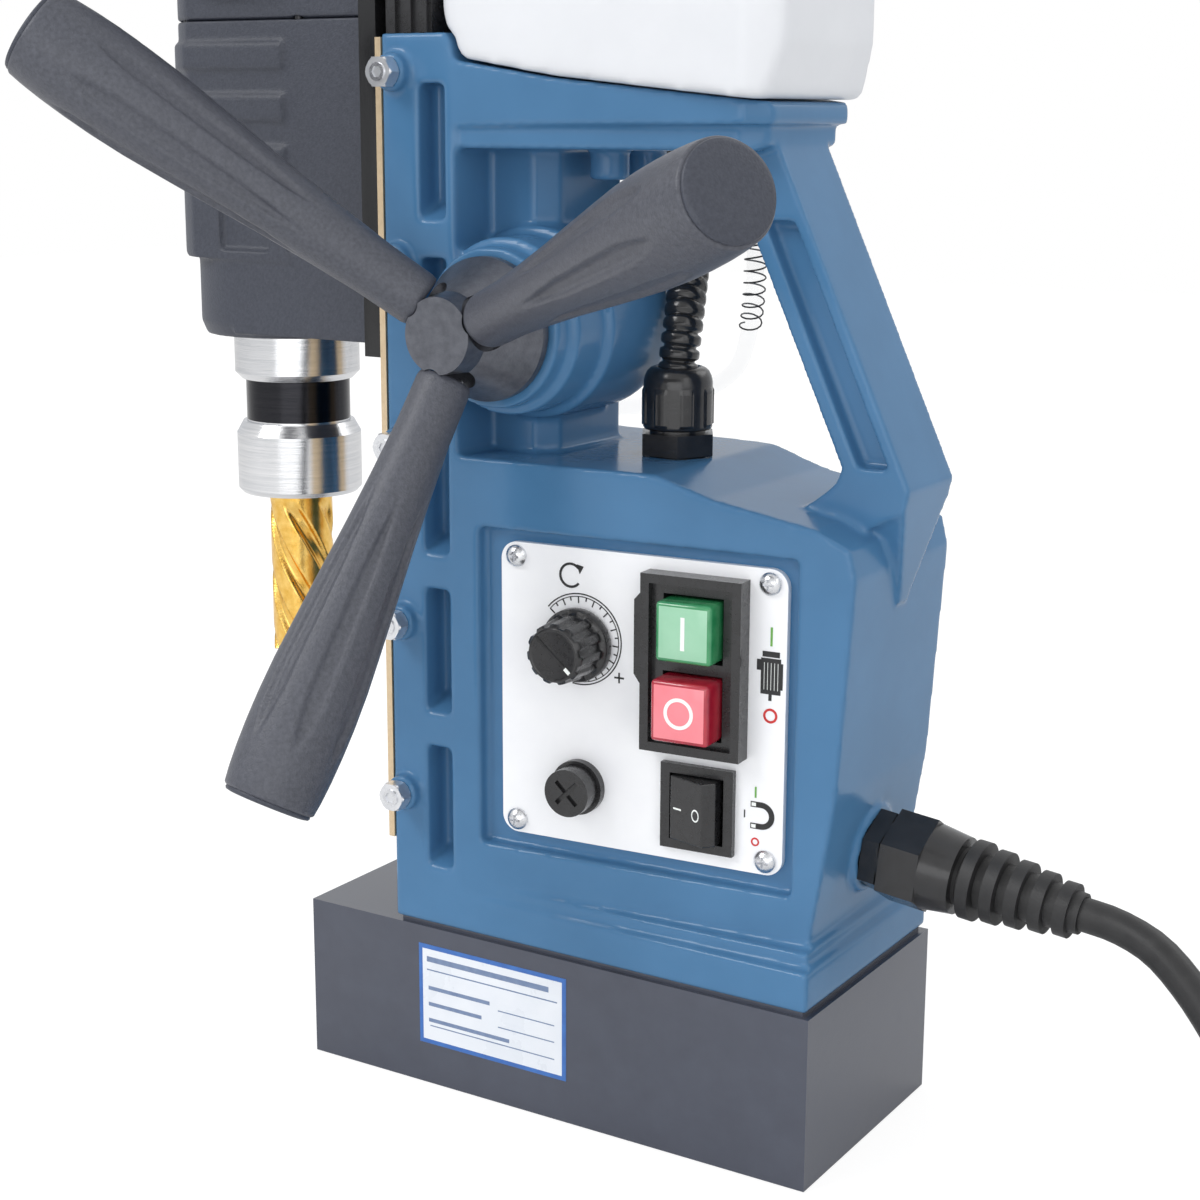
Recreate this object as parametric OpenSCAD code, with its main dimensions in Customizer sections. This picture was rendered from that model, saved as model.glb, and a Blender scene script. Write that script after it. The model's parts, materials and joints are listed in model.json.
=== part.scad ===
// Magnetic drill press with a rack-fed drilling head, a magnet base and a coolant tank.
// Frame: origin at the centre of the magnet's bottom face. +X runs from the drill towards the
// grip strut, -Y faces the control panel and the feed handles, +Z is up. Millimetres.

/* [Magnet base] */
// Length of the magnet block along X
magnet_len = 172; // [166:1:180]
// Width of the magnet block and of the casting's foot
magnet_w = 80; // [78:1:84]
// Height of the magnet block
magnet_h = 50.6; // [46:0.2:50.6]

/* [Casting] */
// Front face of the slide column
column_x = -53.5; // [-53.5:0.5:-52.5]
// Height of the column's top above the magnet's bottom face
column_top = 311; // [305:1:320]
// Front to back size of the column's flange
column_depth = 24.5; // [24:0.5:26]
// Height of the control housing's roof beside the column
roof_z = 194.8; // [193:0.2:197]
// Angle that each side of the control housing turns inwards towards the rear
taper_deg = 4.5; // [4:0.5:5]

/* [Feed drive] */
// Module of the rack and of its pinion
rack_module = 1.5; // [1.5:0.5:1.5]
// Teeth on the feed pinion
feed_teeth = 20; // [20:1:20]
// Height of the feed pinion's axis
feed_z = 232; // [230:1:234]
// Distance of the feed pinion's axis from the magnet's middle, along X
feed_x = -14; // [-14:0.5:-13.5]
// Travel of the drilling head downwards from where it stands
travel_down = 150; // [120:1:150]

/* [Feed handles] */
// Angle that the handles lean towards the operator
handle_lean = 27; // [20:1:32]
// Turn of the first handle above the horizontal
handle_turn = 20; // [0:1:60]
// Distance from the hub's axis to a handle's end, along the handle
handle_len = 137; // [120:1:145]

/* [Drilling head] */
// Distance of the spindle's axis from the magnet's middle, along X
spindle_x = -120; // [-121:0.5:-119]
// Height of the gearbox nose's bottom face
nose_z = 222; // [221:0.5:223]
// Radius of the gearbox nose
nose_r = 29.4; // [29:0.1:30]
// Radius of the motor housing
motor_r = 44; // [43:0.5:45]
// Height of the motor's top
motor_top = 470; // [460:1:480]
// Diameter of the annular cutter
cutter_d = 20; // [14:1:24]

/* [Control panel] */
// Width of the panel plate
panel_w = 88; // [86:1:88]
// Height of the panel plate
panel_h = 86; // [84:1:86]
// Height of the panel's middle
panel_z = 128.5; // [128:0.5:129]

/* [Mains cord] */
// Diameter of the mains cord
cord_d = 9.5; // [8:0.5:10]

/* [Hidden] */
$fn = 64;

cast_blue = [0.29, 0.46, 0.62];
plastic_black = [0.10, 0.10, 0.11];
housing_grey = [0.20, 0.21, 0.23];
steel = [0.72, 0.73, 0.75];
dark_steel = [0.30, 0.30, 0.32];
brass = [0.78, 0.66, 0.40];
gold = [0.85, 0.66, 0.25];
white = [0.93, 0.94, 0.95];

eps = 0.01;
side = magnet_w / 2;
foot_z = magnet_h + 1.4;
flange_top = foot_z + 11.4;
step_top = flange_top + 4.1;
column_back = column_x + column_depth;
web_back = -9.5;
web_half = 22;
arm_z = 280;
feed_r = rack_module * feed_teeth / 2;
rack_line = feed_x - feed_r;
gear_module = 1;
spindle_teeth = 46;
lay_pinion_teeth = 14;
lay_gear_teeth = 40;
motor_teeth = 12;
lay_x = spindle_x + gear_module * (spindle_teeth + lay_pinion_teeth) / 2;
motor_x = lay_x - gear_module * (lay_gear_teeth + motor_teeth) / 2;
gearcase_top = 316;
brush_z = 424;
case_screws = [for (y = [-1, 1]) each [[-92.1, 28.25 * y], [-136.5, 26.9 * y]]];
plate_front = column_x - 8;
plate_back = column_x - 2.05;
plate_bottom = 221;
plate_top = 396;
gib_x = column_x + 5.3;
gib_z = [for (i = [0:4]) 92.5 + 52 * i];
pocket_z = [for (i = [0:4]) 70 + 47.5 * i];
panel_x = 28;
panel_y = -35.5;
knob_x = 9.2;
knob_z = panel_z + 15.8;
fuse_x = 9.4;
fuse_z = panel_z - 26;
switch_x = 46;
switch_z = panel_z + 14.5;
rocker_x = 46.8;
rocker_z = panel_z - 26.7;
start_z = panel_z + 24.9;
stop_z = panel_z + 3.2;
gland_x = 85.5;
gland_z = 88;
gland_tilt = 6.5;
relief_len = 62;
top_gland_x = 20;
running = 0.05;

// The mains cord's route from the strain relief down to the surface, then into the coil.
cord_route = [
    [147, 0, 81], [157, 0, 79.5], [168, -2, 76], [178, -5, 69], [187, -8, 60], [196, -11, 49],
    [205, -14, 37], [215, -17, 25], [226, -19.5, 14.5], [238, -21.5, 8], [251, -22.6, 5.2], [266, -22.75, 4.75]
];
// The cord's end, from the coil's top turn to the plug.
tail_route = [[266, 119.75, 14.25], [252, 119.9, 14.8], [238, 119.5, 16], [224, 118.6, 17.3], [213, 118, 18], [206.2, 118, 18]];
coil_centre = [266, 48.5];
coil_r = 57;
coil_columns = 4;
plug_pos = [206, 118, 18];
valve_at = [33.5, 20, 0];
bolt_spots = [[8, 20], [8, -20], [70, 16], [70, -16]];
// The conduit's route from the top gland, behind the column, to the motor's elbow.
conduit_route = [
    [20, 0, 205], [20, 0, 220], [20, 3, 234], [15, 15, 250], [7, 30, 263], [-5, 43, 275],
    [-20, 50, 288], [-38, 52, 304], [-54, 52, 322], [-68, 51, 340], [-79, 50, 349], [-89.9, 50, 350]
];
// The coolant hose's route from the valve, behind the column, to the nose.
hose_route = [
    [33.5, 20, 253.9], [33.2, 20.8, 246], [30, 24, 235], [22, 31, 222], [7, 40, 210], [-12, 47, 202],
    [-34, 50, 198], [-54, 49, 198], [-70, 46, 203], [-84, 41, 212], [-93, 42.5, 222], [-99, 42, 232], [-103, 37.5, 236], [-103, 31.75, 236]
];

function unit(v) = v / norm(v);
function lerp_route(p, t) =
    let (i = min(floor(t), len(p) - 2), f = t - i,
         a = p[max(i - 1, 0)], b = p[i], c = p[i + 1], d = p[min(i + 2, len(p) - 1)])
    0.5 * (2 * b + (c - a) * f + (2 * a - 5 * b + 4 * c - d) * f * f + (3 * b - a - 3 * c + d) * f * f * f);
function dense(p, n) = [for (i = [0:n]) lerp_route(p, (len(p) - 1) * i / n)];

// A closed tube along a route: rings of n sides, square to the route, with flat ends.
module sweep(p, r, n) {
    count = len(p);
    across = [for (i = [0:count - 1]) unit(cross(unit(p[min(i + 1, count - 1)] - p[max(i - 1, 0)]), [0.05, 1, 0.1]))];
    points = [for (i = [0:count - 1])
        let (ahead = unit(p[min(i + 1, count - 1)] - p[max(i - 1, 0)]), u = across[i], w = cross(ahead, u))
        for (k = [0:n - 1]) p[i] + r * (cos(360 * k / n) * u + sin(360 * k / n) * w)];
    ends = [[for (k = [0:n - 1]) n - 1 - k], [for (k = [0:n - 1]) (count - 1) * n + k]];
    sides = [for (i = [0:count - 2]) for (k = [0:n - 1]) each [
        [i * n + k, i * n + (k + 1) % n, (i + 1) * n + k],
        [i * n + (k + 1) % n, (i + 1) * n + (k + 1) % n, (i + 1) * n + k]]];
    polyhedron(points, concat(ends, sides));
}

module xcyl(x0, x1, y, z, r) {
    translate([x0, y, z]) rotate([0, 90, 0]) cylinder(h = x1 - x0, r = r);
}

module ycyl(x, y0, y1, z, r) {
    translate([x, y0, z]) rotate([-90, 0, 0]) cylinder(h = y1 - y0, r = r);
}

module zcyl(x, y, z0, z1, r) {
    translate([x, y, z0]) cylinder(h = z1 - z0, r = r);
}

module block(low, high) {
    translate(low) cube(high - low);
}

// An outline in X and Z, extruded along Y.
module prism_xz(points, y0, y1) {
    translate([0, y1, 0]) rotate([90, 0, 0]) linear_extrude(y1 - y0) polygon(points);
}

// An outline in Y and Z, extruded along X.
module prism_yz(points, x0, x1) {
    translate([x0, 0, 0]) rotate([90, 0, 90]) linear_extrude(x1 - x0) polygon(points);
}

// An outline in X and Y, extruded upwards.
module prism_xy(points, z0, z1) {
    translate([0, 0, z0]) linear_extrude(z1 - z0) polygon(points);
}

// A plan symmetrical about Y = 0 from its half outline, listed from front to back.
function both_sides(half) = concat(half, [for (i = [len(half) - 1:-1:0]) [half[i][0], -half[i][1]]]);

// Spur gear outline: straight-flanked teeth, the first one turned by phase degrees.
module gear_outline(teeth, mod, phase) {
    pitch_r = teeth * mod / 2;
    pitch_deg = 360 / teeth;
    steps = [[-0.34, -1.2], [-0.20, 0], [-0.10, 0.85], [0.10, 0.85], [0.20, 0], [0.34, -1.2]];
    polygon([for (i = [0:teeth - 1]) for (s = steps)
        let (a = phase + pitch_deg * (i + s[0]), r = pitch_r + mod * s[1]) [r * cos(a), r * sin(a)]]);
}

module hex_prism(across_flats, h) {
    cylinder(h = h, r = across_flats / sqrt(3), $fn = 6);
}

// Places children in the control panel's frame: X along the plate, -Y outwards.
module on_panel() {
    translate([0, panel_y, 0]) rotate([0, 0, taper_deg]) children();
}

// Places children in the rear gland's frame: X outwards along the gland.
module on_rear_gland() {
    translate([gland_x, 0, gland_z]) rotate([0, gland_tilt, 0]) children();
}

module cast_column() {
    prism_xz([[column_x, foot_z], [column_x, column_top], [column_back - 3, column_top],
        [column_back - 1, column_top - 2.5], [column_back, column_top - 7.5], [column_back, foot_z]], -side, side);
    prism_xy(both_sides([[column_back - 1, web_half], [web_back - 5, web_half], [web_back, web_half - 6]]),
        flange_top, arm_z + 2);
    for (z = gib_z) ycyl(gib_x, -side - 4, -side + 2, z, 5.3);
}

module cast_foot() {
    block([column_x, -side, foot_z], [85, side, flange_top]);
    prism_xy(both_sides([[column_x + 1, side], [-25, side - 0.4], [83, side - 4]]), flange_top - 1, step_top);
}

module cast_housing() {
    intersection() {
        prism_xz([[-30, foot_z], [81.5, foot_z], [81.5, 71], [87.5, 110], [91.5, 171], [89.5, 179], [80, roof_z - 11.3],
            [50, roof_z - 5.8], [33, roof_z - 0.5], [-30, roof_z]], -side, side);
        prism_xy(both_sides([[-31, side - 0.1], [-26, side - 0.2], [93, side - 0.2 - 119 * tan(taper_deg)]]),
            foot_z, roof_z + 1);
    }
    on_rear_gland() xcyl(-6, 0.5, 0, 0, 12.5);
}

module cast_arm() {
    arm_plan = both_sides([[column_back - 1, side], [54, side - 12.5], [60.5, side - 18]]);
    arm_plan_low = both_sides([[column_back - 1, side - 1], [51, side - 15.5], [58, side - 20]]);
    intersection() {
        prism_xz([[column_back - 1, 303.8], [0, 299], [30, 295.8], [59.5, 292.8], [60.5, 291], [60.5, 287],
            [column_back - 1, 286]], -side, side);
        prism_xy(arm_plan, arm_z, 305);
    }
    intersection() {
        prism_xz([[column_back - 1, 287], [58, 288], [58, 281.5], [54, arm_z], [column_back - 1, arm_z]], -side, side);
        prism_xy(arm_plan_low, arm_z - 1, 305);
    }
    for (y = [-10, 10]) zcyl(3, y, arm_z - 8.5, arm_z + 1, 5.6);
}

module cast_strut() {
    prism_xz([[57.9, 282], [98.8, 193], [97.4, 187], [80, 178], [68, 186], [73, 189.5], [77.5, 193.5], [79, 197.5],
        [40, 282]], -15, 15);
    intersection() {
        prism_xz([[79, 197], [98, 192], [97.4, 187], [91.8, 160], [84, 160]], -15, 15);
        prism_yz([[-15, 200], [-15, 188], [-2.5, 159], [2.5, 159], [15, 188], [15, 200]], 70, 100);
    }
}

module cast_drum() {
    ycyl(feed_x, -24, 8, feed_z, 27);
    ycyl(feed_x, -38, -23, feed_z, 24.5);
    ycyl(feed_x, -44.5, -37, feed_z, 22);
    ycyl(feed_x, 7, 26, feed_z, 22);
}

module dovetail_slot() {
    prism_xy([[column_x - 1, -21], [column_x, -21.4], [column_x + 12.3, -26.5], [column_x + 12.3, 23.2],
        [column_x, 18.1], [column_x - 1, 17.7]], 60, column_top + 1);
    for (y = [-26.4, 23.1]) zcyl(column_x + 12.2, y, 60, column_top + 1, 1.3);
    block([column_x + 12, -8.5, 60], [rack_line + 3.1, 8.5, column_top + 1]);
}

module feed_cavity() {
    ycyl(feed_x, -10.5, 27, feed_z, 17.5);
    ycyl(feed_x, -45, -10, feed_z, 11);
}

module housing_cavity() {
    intersection() {
        prism_xz([[-21, 60], [78, 60], [78, 72], [83.5, 110], [87.5, 170], [79, roof_z - 15.8], [49.5, roof_z - 10.2],
            [32, roof_z - 4.8], [-21, roof_z - 4.3]], -side, side);
        prism_xy([[-21, -31], [88, -22.4], [88, 26.5], [-21, 35]], 59, roof_z);
    }
    on_rear_gland() xcyl(-20, 1, 0, 0, 10);
    zcyl(top_gland_x, 0, roof_z - 6, roof_z + 2, 8.05);
    zcyl(0, 0, foot_z - 1, 61, 5);
}

module panel_pocket() {
    on_panel() {
        block([-22.4, -8, panel_z - 47.5], [75.5, 2, panel_z + 46.5]);
        block([-6, 0, panel_z - 40.5], [62, 12, panel_z + 40.5]);
        for (dx = [-39, 39]) for (dz = [-39, 39]) ycyl(panel_x + dx, 1, 12, panel_z + dz, 1.8);
    }
}

module strut_groove(y0, y1) {
    prism_xz([[54.2, 262], [63.2, 262], [92.6, 198], [83.8, 198]], y0, y1);
}

module frame_casting() color(cast_blue) difference() {
    union() {
        cast_foot();
        cast_column();
        cast_housing();
        cast_arm();
        cast_strut();
        cast_drum();
    }
    dovetail_slot();
    feed_cavity();
    housing_cavity();
    panel_pocket();
    for (z = pocket_z) for (s = [-1, 1]) intersection() {
        block([-41, -side - 1, z - 4], [-32.5, side + 1, z + 38]);
        prism_yz([[s * (side + 1), z - 0.5], [s * (side - 9), z + 5], [s * (side - 9), z + 37.5],
            [s * (side + 1), z + 37.5]], -42, -30);
    }
    for (z = gib_z) ycyl(gib_x, -side - 5, -20, z, 2.55);
    strut_groove(-16, -10);
    strut_groove(10, 16);
    for (p = bolt_spots) zcyl(p[0], p[1], foot_z - 1, 61, 4.2);
    zcyl(valve_at[0], valve_at[1], arm_z - 1, 300, 3.65);
}

// A bottom-open pot: outer walls and a centre core, with a slot for the winding.
module magnet_body() color(plastic_black) difference() {
    union() {
        block([-magnet_len / 2, -side, 0], [magnet_len / 2, side, magnet_h]);
        block([column_x + 1.5, -side + 1.5, magnet_h - 1], [83.5, side - 1.5, foot_z - 0.02]);
    }
    difference() {
        block([-magnet_len / 2 + 14, -side + 12, -1], [magnet_len / 2 - 14, side - 12, 34]);
        block([-magnet_len / 2 + 30, -side + 27, -2], [magnet_len / 2 - 30, side - 27, 35]);
    }
    for (p = bolt_spots) zcyl(p[0], p[1], magnet_h - 12, foot_z + 1, 3.4);
    zcyl(0, 0, 33, foot_z + 1, 4);
}

module slot_ring(z0, z1, gap) {
    difference() {
        block([-magnet_len / 2 + 14 + gap, -side + 12 + gap, z0], [magnet_len / 2 - 14 - gap, side - 12 - gap, z1]);
        block([-magnet_len / 2 + 30 - gap, -side + 27 - gap, z0 - 1], [magnet_len / 2 - 30 + gap, side - 27 + gap, z1 + 1]);
    }
}

module magnet_coil() color([0.72, 0.42, 0.25]) slot_ring(6, 32, 0.8);

module magnet_potting() color([0.25, 0.22, 0.20]) slot_ring(0.3, 5.8, 0.02);

module magnet_bolts() color(steel) for (p = bolt_spots) {
    zcyl(p[0], p[1], magnet_h - 11.5, 60.2, 3.35);
    difference() {
        zcyl(p[0], p[1], 60.05, 66, 6.5);
        translate([p[0], p[1], 62]) hex_prism(5, 5);
    }
}

module wear_strips() color(brass) {
    block([column_x - 2, -side, 77], [column_x - 0.01, -22.6, column_top - 1]);
    block([column_x - 2, 19.4, 77], [column_x - 0.01, side, column_top - 1]);
}

module gib() color(brass)
    prism_xy([[column_x + 0.2, -18.25], [column_x + 0.2, -21.35], [column_x + 12, -26.2], [column_x + 12, -23.15]],
        61, column_top - 1);

module gib_screws() color(steel) for (z = gib_z) difference() {
    ycyl(gib_x, -side - 8.9, -24.9, z, 2.5);
    translate([gib_x, -side - 10, z]) rotate([-90, 0, 0]) hex_prism(2.9, 4);
}

module gib_lock_nuts() color(steel) for (z = gib_z) difference() {
    translate([gib_x, -side - 8.5, z]) rotate([-90, 0, 0]) rotate(30) hex_prism(8, 4.4);
    ycyl(gib_x, -side - 10, -side - 3, z, 2.52);
}

module pinion_bushes() color(brass) {
    difference() {
        ycyl(feed_x, -44.5, -22, feed_z, 10.98);
        ycyl(feed_x, -46, -21, feed_z, 8);
    }
    difference() {
        ycyl(feed_x, 12, 25.9, feed_z, 10.98);
        ycyl(feed_x, 11, 27, feed_z, 8);
    }
}

module pinion_cover() color(cast_blue) difference() {
    union() {
        ycyl(feed_x, 12, 26.1, feed_z, 17.45);
        difference() {
            ycyl(feed_x, 26.02, 30, feed_z, 22);
            block([-60, 20, 200], [column_back + 0.05, 40, 260]);
        }
    }
    ycyl(feed_x, 11, 26, feed_z, 11);
}

// Ribbed cover on the column's top, split around the slide.
module column_cap() color(plastic_black) difference() {
    union() {
        block([column_x + 0.5, -side + 2, column_top + 0.02], [-37.2, side - 2, column_top + 24]);
        for (y = [-side + 0.8, side - 3]) for (i = [0:2])
            block([column_x + 2 + 5.4 * i, y, column_top + 0.02], [column_x + 4.6 + 5.4 * i, y + 2.2, column_top + 24]);
    }
    block([column_x - 1, -27.5, column_top - 1], [column_back + 3, 24.5, column_top + 26]);
}

module control_panel() color(white) on_panel() difference() {
    union() {
        block([panel_x - panel_w / 2 + 5, 0, panel_z - panel_h / 2], [panel_x + panel_w / 2 - 5, 1.98, panel_z + panel_h / 2]);
        block([panel_x - panel_w / 2, 0, panel_z - panel_h / 2 + 5], [panel_x + panel_w / 2, 1.98, panel_z + panel_h / 2 - 5]);
        for (s = [-1, 1]) for (t = [-1, 1])
            ycyl(panel_x + s * (panel_w / 2 - 5), 0, 1.98, panel_z + t * (panel_h / 2 - 5), 5);
    }
    for (dx = [-39, 39]) for (dz = [-39, 39]) ycyl(panel_x + dx, -1, 3, panel_z + dz, 2);
    ycyl(knob_x, -1, 3, knob_z, 4.1);
    ycyl(fuse_x, -1, 3, fuse_z, 6.1);
    block([switch_x - 13.1, -1, switch_z - 21.1], [switch_x + 13.1, 3, switch_z + 21.1]);
    block([rocker_x - 9.6, -1, rocker_z - 10.6], [rocker_x + 9.6, 3, rocker_z + 10.6]);
}

module panel_screws() color(steel) on_panel() for (dx = [-39, 39]) for (dz = [-39, 39]) difference() {
    union() {
        ycyl(panel_x + dx, -0.05, 7, panel_z + dz, 1.75);
        intersection() {
            ycyl(panel_x + dx, -2.2, -0.02, panel_z + dz, 3.2);
            translate([panel_x + dx, 1.5, panel_z + dz]) sphere(r = 3.9);
        }
    }
    for (a = [0, 90]) translate([panel_x + dx, -2, panel_z + dz]) rotate([0, a, 0])
        cube([3.2, 2, 0.8], center = true);
}

// Twin push-button module: a raised bezel with two wells, and its body behind the panel.
module switch_body() color(plastic_black) on_panel() difference() {
    union() {
        block([switch_x - 15, -6, switch_z - 25], [switch_x + 15, -0.02, switch_z + 25]);
        prism_xz([[switch_x - 17.6, switch_z - 4], [switch_x - 14, switch_z - 9], [switch_x - 14, switch_z + 21],
            [switch_x - 17.6, switch_z + 17]], -4.5, -0.02);
        block([switch_x - 13, -0.03, switch_z - 21], [switch_x + 13, 26, switch_z + 21]);
    }
    block([switch_x - 12.4, -7, switch_z - 22.4], [switch_x + 12.4, -3.8, switch_z + 22.4]);
    for (z = [start_z, stop_z]) block([switch_x - 9, -7, z - 9.2], [switch_x + 9, 12, z + 9.2]);
}

module start_button() color([0.30, 0.68, 0.42]) on_panel()
    block([switch_x - 8.4, -10.5, start_z - 8.5], [switch_x + 8.4, 4, start_z + 8.5]);

module stop_button() color([0.83, 0.22, 0.28]) on_panel()
    block([switch_x - 8.7, -12.5, stop_z - 8.7], [switch_x + 8.7, 4, stop_z + 8.7]);

module rocker_frame() color(plastic_black) on_panel() difference() {
    union() {
        block([rocker_x - 11, -2, rocker_z - 12.3], [rocker_x + 11, -0.02, rocker_z + 12.3]);
        block([rocker_x - 9.5, -0.03, rocker_z - 10.5], [rocker_x + 9.5, 18, rocker_z + 10.5]);
    }
    block([rocker_x - 8.2, -3, rocker_z - 9.6], [rocker_x + 8.2, 12, rocker_z + 9.6]);
}

// Rocker: a long and a short flat that meet in a ridge, turning on pins at its pivot.
module magnet_rocker() color(plastic_black) on_panel() {
    translate([rocker_x, 3, rocker_z - 9.3]) linear_extrude(18.6)
        polygon([[-7.4, -6.4], [2.2, -10.4], [6.8, -7.6], [7, -3], [2, 2], [-2, 2], [-7.2, -3]]);
    zcyl(rocker_x, 3, rocker_z - 9.55, rocker_z + 9.55, 1.6);
}

module fuse_holder() color(plastic_black) on_panel() difference() {
    union() {
        ycyl(fuse_x, -2.5, -0.02, fuse_z, 7.9);
        ycyl(fuse_x, -0.03, 26, fuse_z, 6);
    }
    ycyl(fuse_x, -3, 22, fuse_z, 4.6);
}

module fuse_cap() color(plastic_black) on_panel() difference() {
    union() {
        ycyl(fuse_x, -8.5, -2.6, fuse_z, 6.9);
        ycyl(fuse_x, -2.7, 14, fuse_z, 4.2);
    }
    for (a = [45, 135]) translate([fuse_x, -8.4, fuse_z]) rotate([0, a, 0]) cube([9, 2.4, 1.3], center = true);
}

module potentiometer() color(dark_steel) on_panel() difference() {
    union() {
        ycyl(knob_x, 2.05, 12, knob_z, 8.5);
        ycyl(knob_x, -0.5, 2.1, knob_z, 4);
    }
    ycyl(knob_x, -1, 9, knob_z, 3.05);
}

// Speed knob: skirt, ribbed grip with a pointer groove, and its shaft.
module speed_knob() color(plastic_black) on_panel() difference() {
    union() {
        ycyl(knob_x, -4.2, -0.7, knob_z, 10.5);
        ycyl(knob_x, -16, -4, knob_z, 8.4);
        ycyl(knob_x, -1, 8, knob_z, 3);
    }
    for (a = [0:20:340]) rotate_at(knob_x, knob_z, a) block([8, -17, -0.7], [10, -4.4, 0.7]);
}

module rotate_at(x, z, a) {
    translate([x, 0, z]) rotate([0, a, 0]) children();
}

module circuit_board() color([0.12, 0.35, 0.22]) {
    block([-12, 16, 74], [66, 17.6, 168]);
    block([-6, 8, 84], [22, 16.05, 108]);
    block([30, 4, 84], [58, 16.05, 96]);
    for (i = [0:2]) zcyl(38 + 9 * i, 10, 120, 140, 4);
    for (z = [79, 163]) ycyl(-8, 17.55, 33.7, z, 2.5);
    for (z = [79, 163]) ycyl(62, 17.55, 28.2, z, 2.5);
}

module mains_gland_body() color(plastic_black) on_rear_gland() difference() {
    union() {
        translate([0.55, 0, 0]) rotate([0, 90, 0]) hex_prism(21, 5);
        xcyl(-10, 1, 0, 0, 9.95);
        xcyl(5.5, 17, 0, 0, 10.6);
    }
    xcyl(-11, 18, 0, 0, 6.4);
}

module mains_gland_nut() color(plastic_black) on_rear_gland() difference() {
    union() {
        translate([6.6, 0, 0]) rotate([0, 90, 0]) hex_prism(24, 11.4);
        translate([18, 0, 0]) rotate([0, 90, 0]) cylinder(h = 9, r1 = 12.2, r2 = 11);
    }
    xcyl(6, 17.2, 0, 0, 10.65);
    xcyl(17, 28, 0, 0, 8.3);
}

// Ribbed, tapered boot that the cord leaves through.
module strain_relief() color(plastic_black) on_rear_gland() difference() {
    union() {
        xcyl(-9, 28, 0, 0, 6.35);
        xcyl(20, 28, 0, 0, 8.25);
        translate([27.5, 0, 0]) rotate([0, 90, 0]) cylinder(h = relief_len - 27.5, r1 = 8, r2 = 5.7);
        for (i = [0:4]) xcyl(29.5 + 6.6 * i, 33 + 6.6 * i, 0, 0, 11.2 - 0.9 * i);
    }
    xcyl(relief_len - 12, relief_len + 1, 0, 0, cord_d / 2 + 0.01);
    xcyl(-10, relief_len - 11, 0, 0, 3.5);
}

module mains_cord() color(plastic_black) {
    start = [relief_len - 11.9, relief_len];
    inside = [for (x = start) [gland_x + x * cos(gland_tilt), 0, gland_z - x * sin(gland_tilt)]];
    sweep(concat([inside[0]], dense(cord_route, 24)), cord_d / 2, 10);
    sweep(dense(tail_route, 8), cord_d / 2, 10);
}

module mains_cord_coil() color(plastic_black) translate([coil_centre[0], coil_centre[1], 0])
    rotate_extrude() translate([coil_r - coil_columns * cord_d / 2, 0]) square([coil_columns * cord_d, 2 * cord_d]);

module mains_plug() color(plastic_black) translate(plug_pos) rotate([0, -90, 0]) {
    cylinder(h = 12, r1 = 7, r2 = 15);
    translate([0, 0, 11.99]) cylinder(h = 22, r = 18);
    for (y = [-9.5, 9.5]) translate([0, y, 33.9]) cylinder(h = 19, r = 2.4, $fn = 32);
}

module motor_gland_body() color(plastic_black) difference() {
    union() {
        translate([top_gland_x, 0, roof_z + 0.02]) hex_prism(20, 6.2);
        zcyl(top_gland_x, 0, roof_z - 9, roof_z + 0.05, 8);
        zcyl(top_gland_x, 0, roof_z + 6, roof_z + 18, 8);
    }
    zcyl(top_gland_x, 0, roof_z - 10, roof_z + 20, 5.9);
}

module motor_gland_nut() color(plastic_black) difference() {
    union() {
        zcyl(top_gland_x, 0, roof_z + 7, roof_z + 22, 10.3);
        translate([top_gland_x, 0, roof_z + 22 - eps]) cylinder(h = 3, r1 = 10.3, r2 = 8.2);
    }
    zcyl(top_gland_x, 0, roof_z + 6, roof_z + 18.5, 8.05);
    zcyl(top_gland_x, 0, roof_z + 18, roof_z + 26, 6.2);
}

module motor_conduit() color(plastic_black) sweep(dense(conduit_route, 44), 5.75, 10);

module conduit_elbow() color(plastic_black) {
    block([-108, 43.5, 342], [-94, 57, 358]);
    xcyl(-94.1, -86, 50, 350, 8.5);
}

// Tank: sloped bottom that lies on the arm, and a filler neck with a screwed-on lid.
module coolant_tank() color(white) difference() {
    union() {
        intersection() {
            prism_xz([[-36, 318], [-32, 311.6], [-28.5, 309.5], [-27.6, 304.2], [0, 299.4], [30, 296.2], [59, 293.2],
                [62, 294.5], [66, 308], [66, 385], [62, 390], [-32, 390], [-36, 386]], -45, 45);
            prism_xy(both_sides([[-36, 34], [-33, 38.5], [-28, 40.5], [56, 32], [66, 26]]), 290, 400);
        }
        zcyl(10, 0, 389, 402, 16);
    }
    block([-40, -10.5, 280], [-25.2, 10.5, 400]);
    intersection() {
        prism_xz([[-33.5, 319], [-26, 309], [0, 302.4], [30, 299.2], [59, 296.2], [63.5, 309], [63.5, 384], [61, 387.5],
            [-31, 387.5], [-33.5, 385]], -45, 45);
        prism_xy(concat([[-22.6, 13.1]], [[-33.5, 13.1], [-33.5, 33], [-31, 36.5], [-28, 38], [55, 29.5], [63.5, 24]],
            [[63.5, -24], [55, -29.5], [-28, -38], [-31, -36.5], [-33.5, -33], [-33.5, -13.1], [-22.6, -13.1]]), 290, 400);
    }
    zcyl(10, 0, 380, 403, 13);
    zcyl(valve_at[0], valve_at[1], 280, 310, 3.62);
}

// Screwed-on filler lid with a grip ring.
module tank_lid() color(plastic_black) difference() {
    union() {
        zcyl(10, 0, 393, 406, 19);
        for (a = [0:30:330]) translate([10, 0, 0]) rotate(a) translate([18.6, 0, 393.6]) cylinder(h = 11, r = 1.8, $fn = 32);
    }
    zcyl(10, 0, 392, 402.5, 16.05);
}

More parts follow.
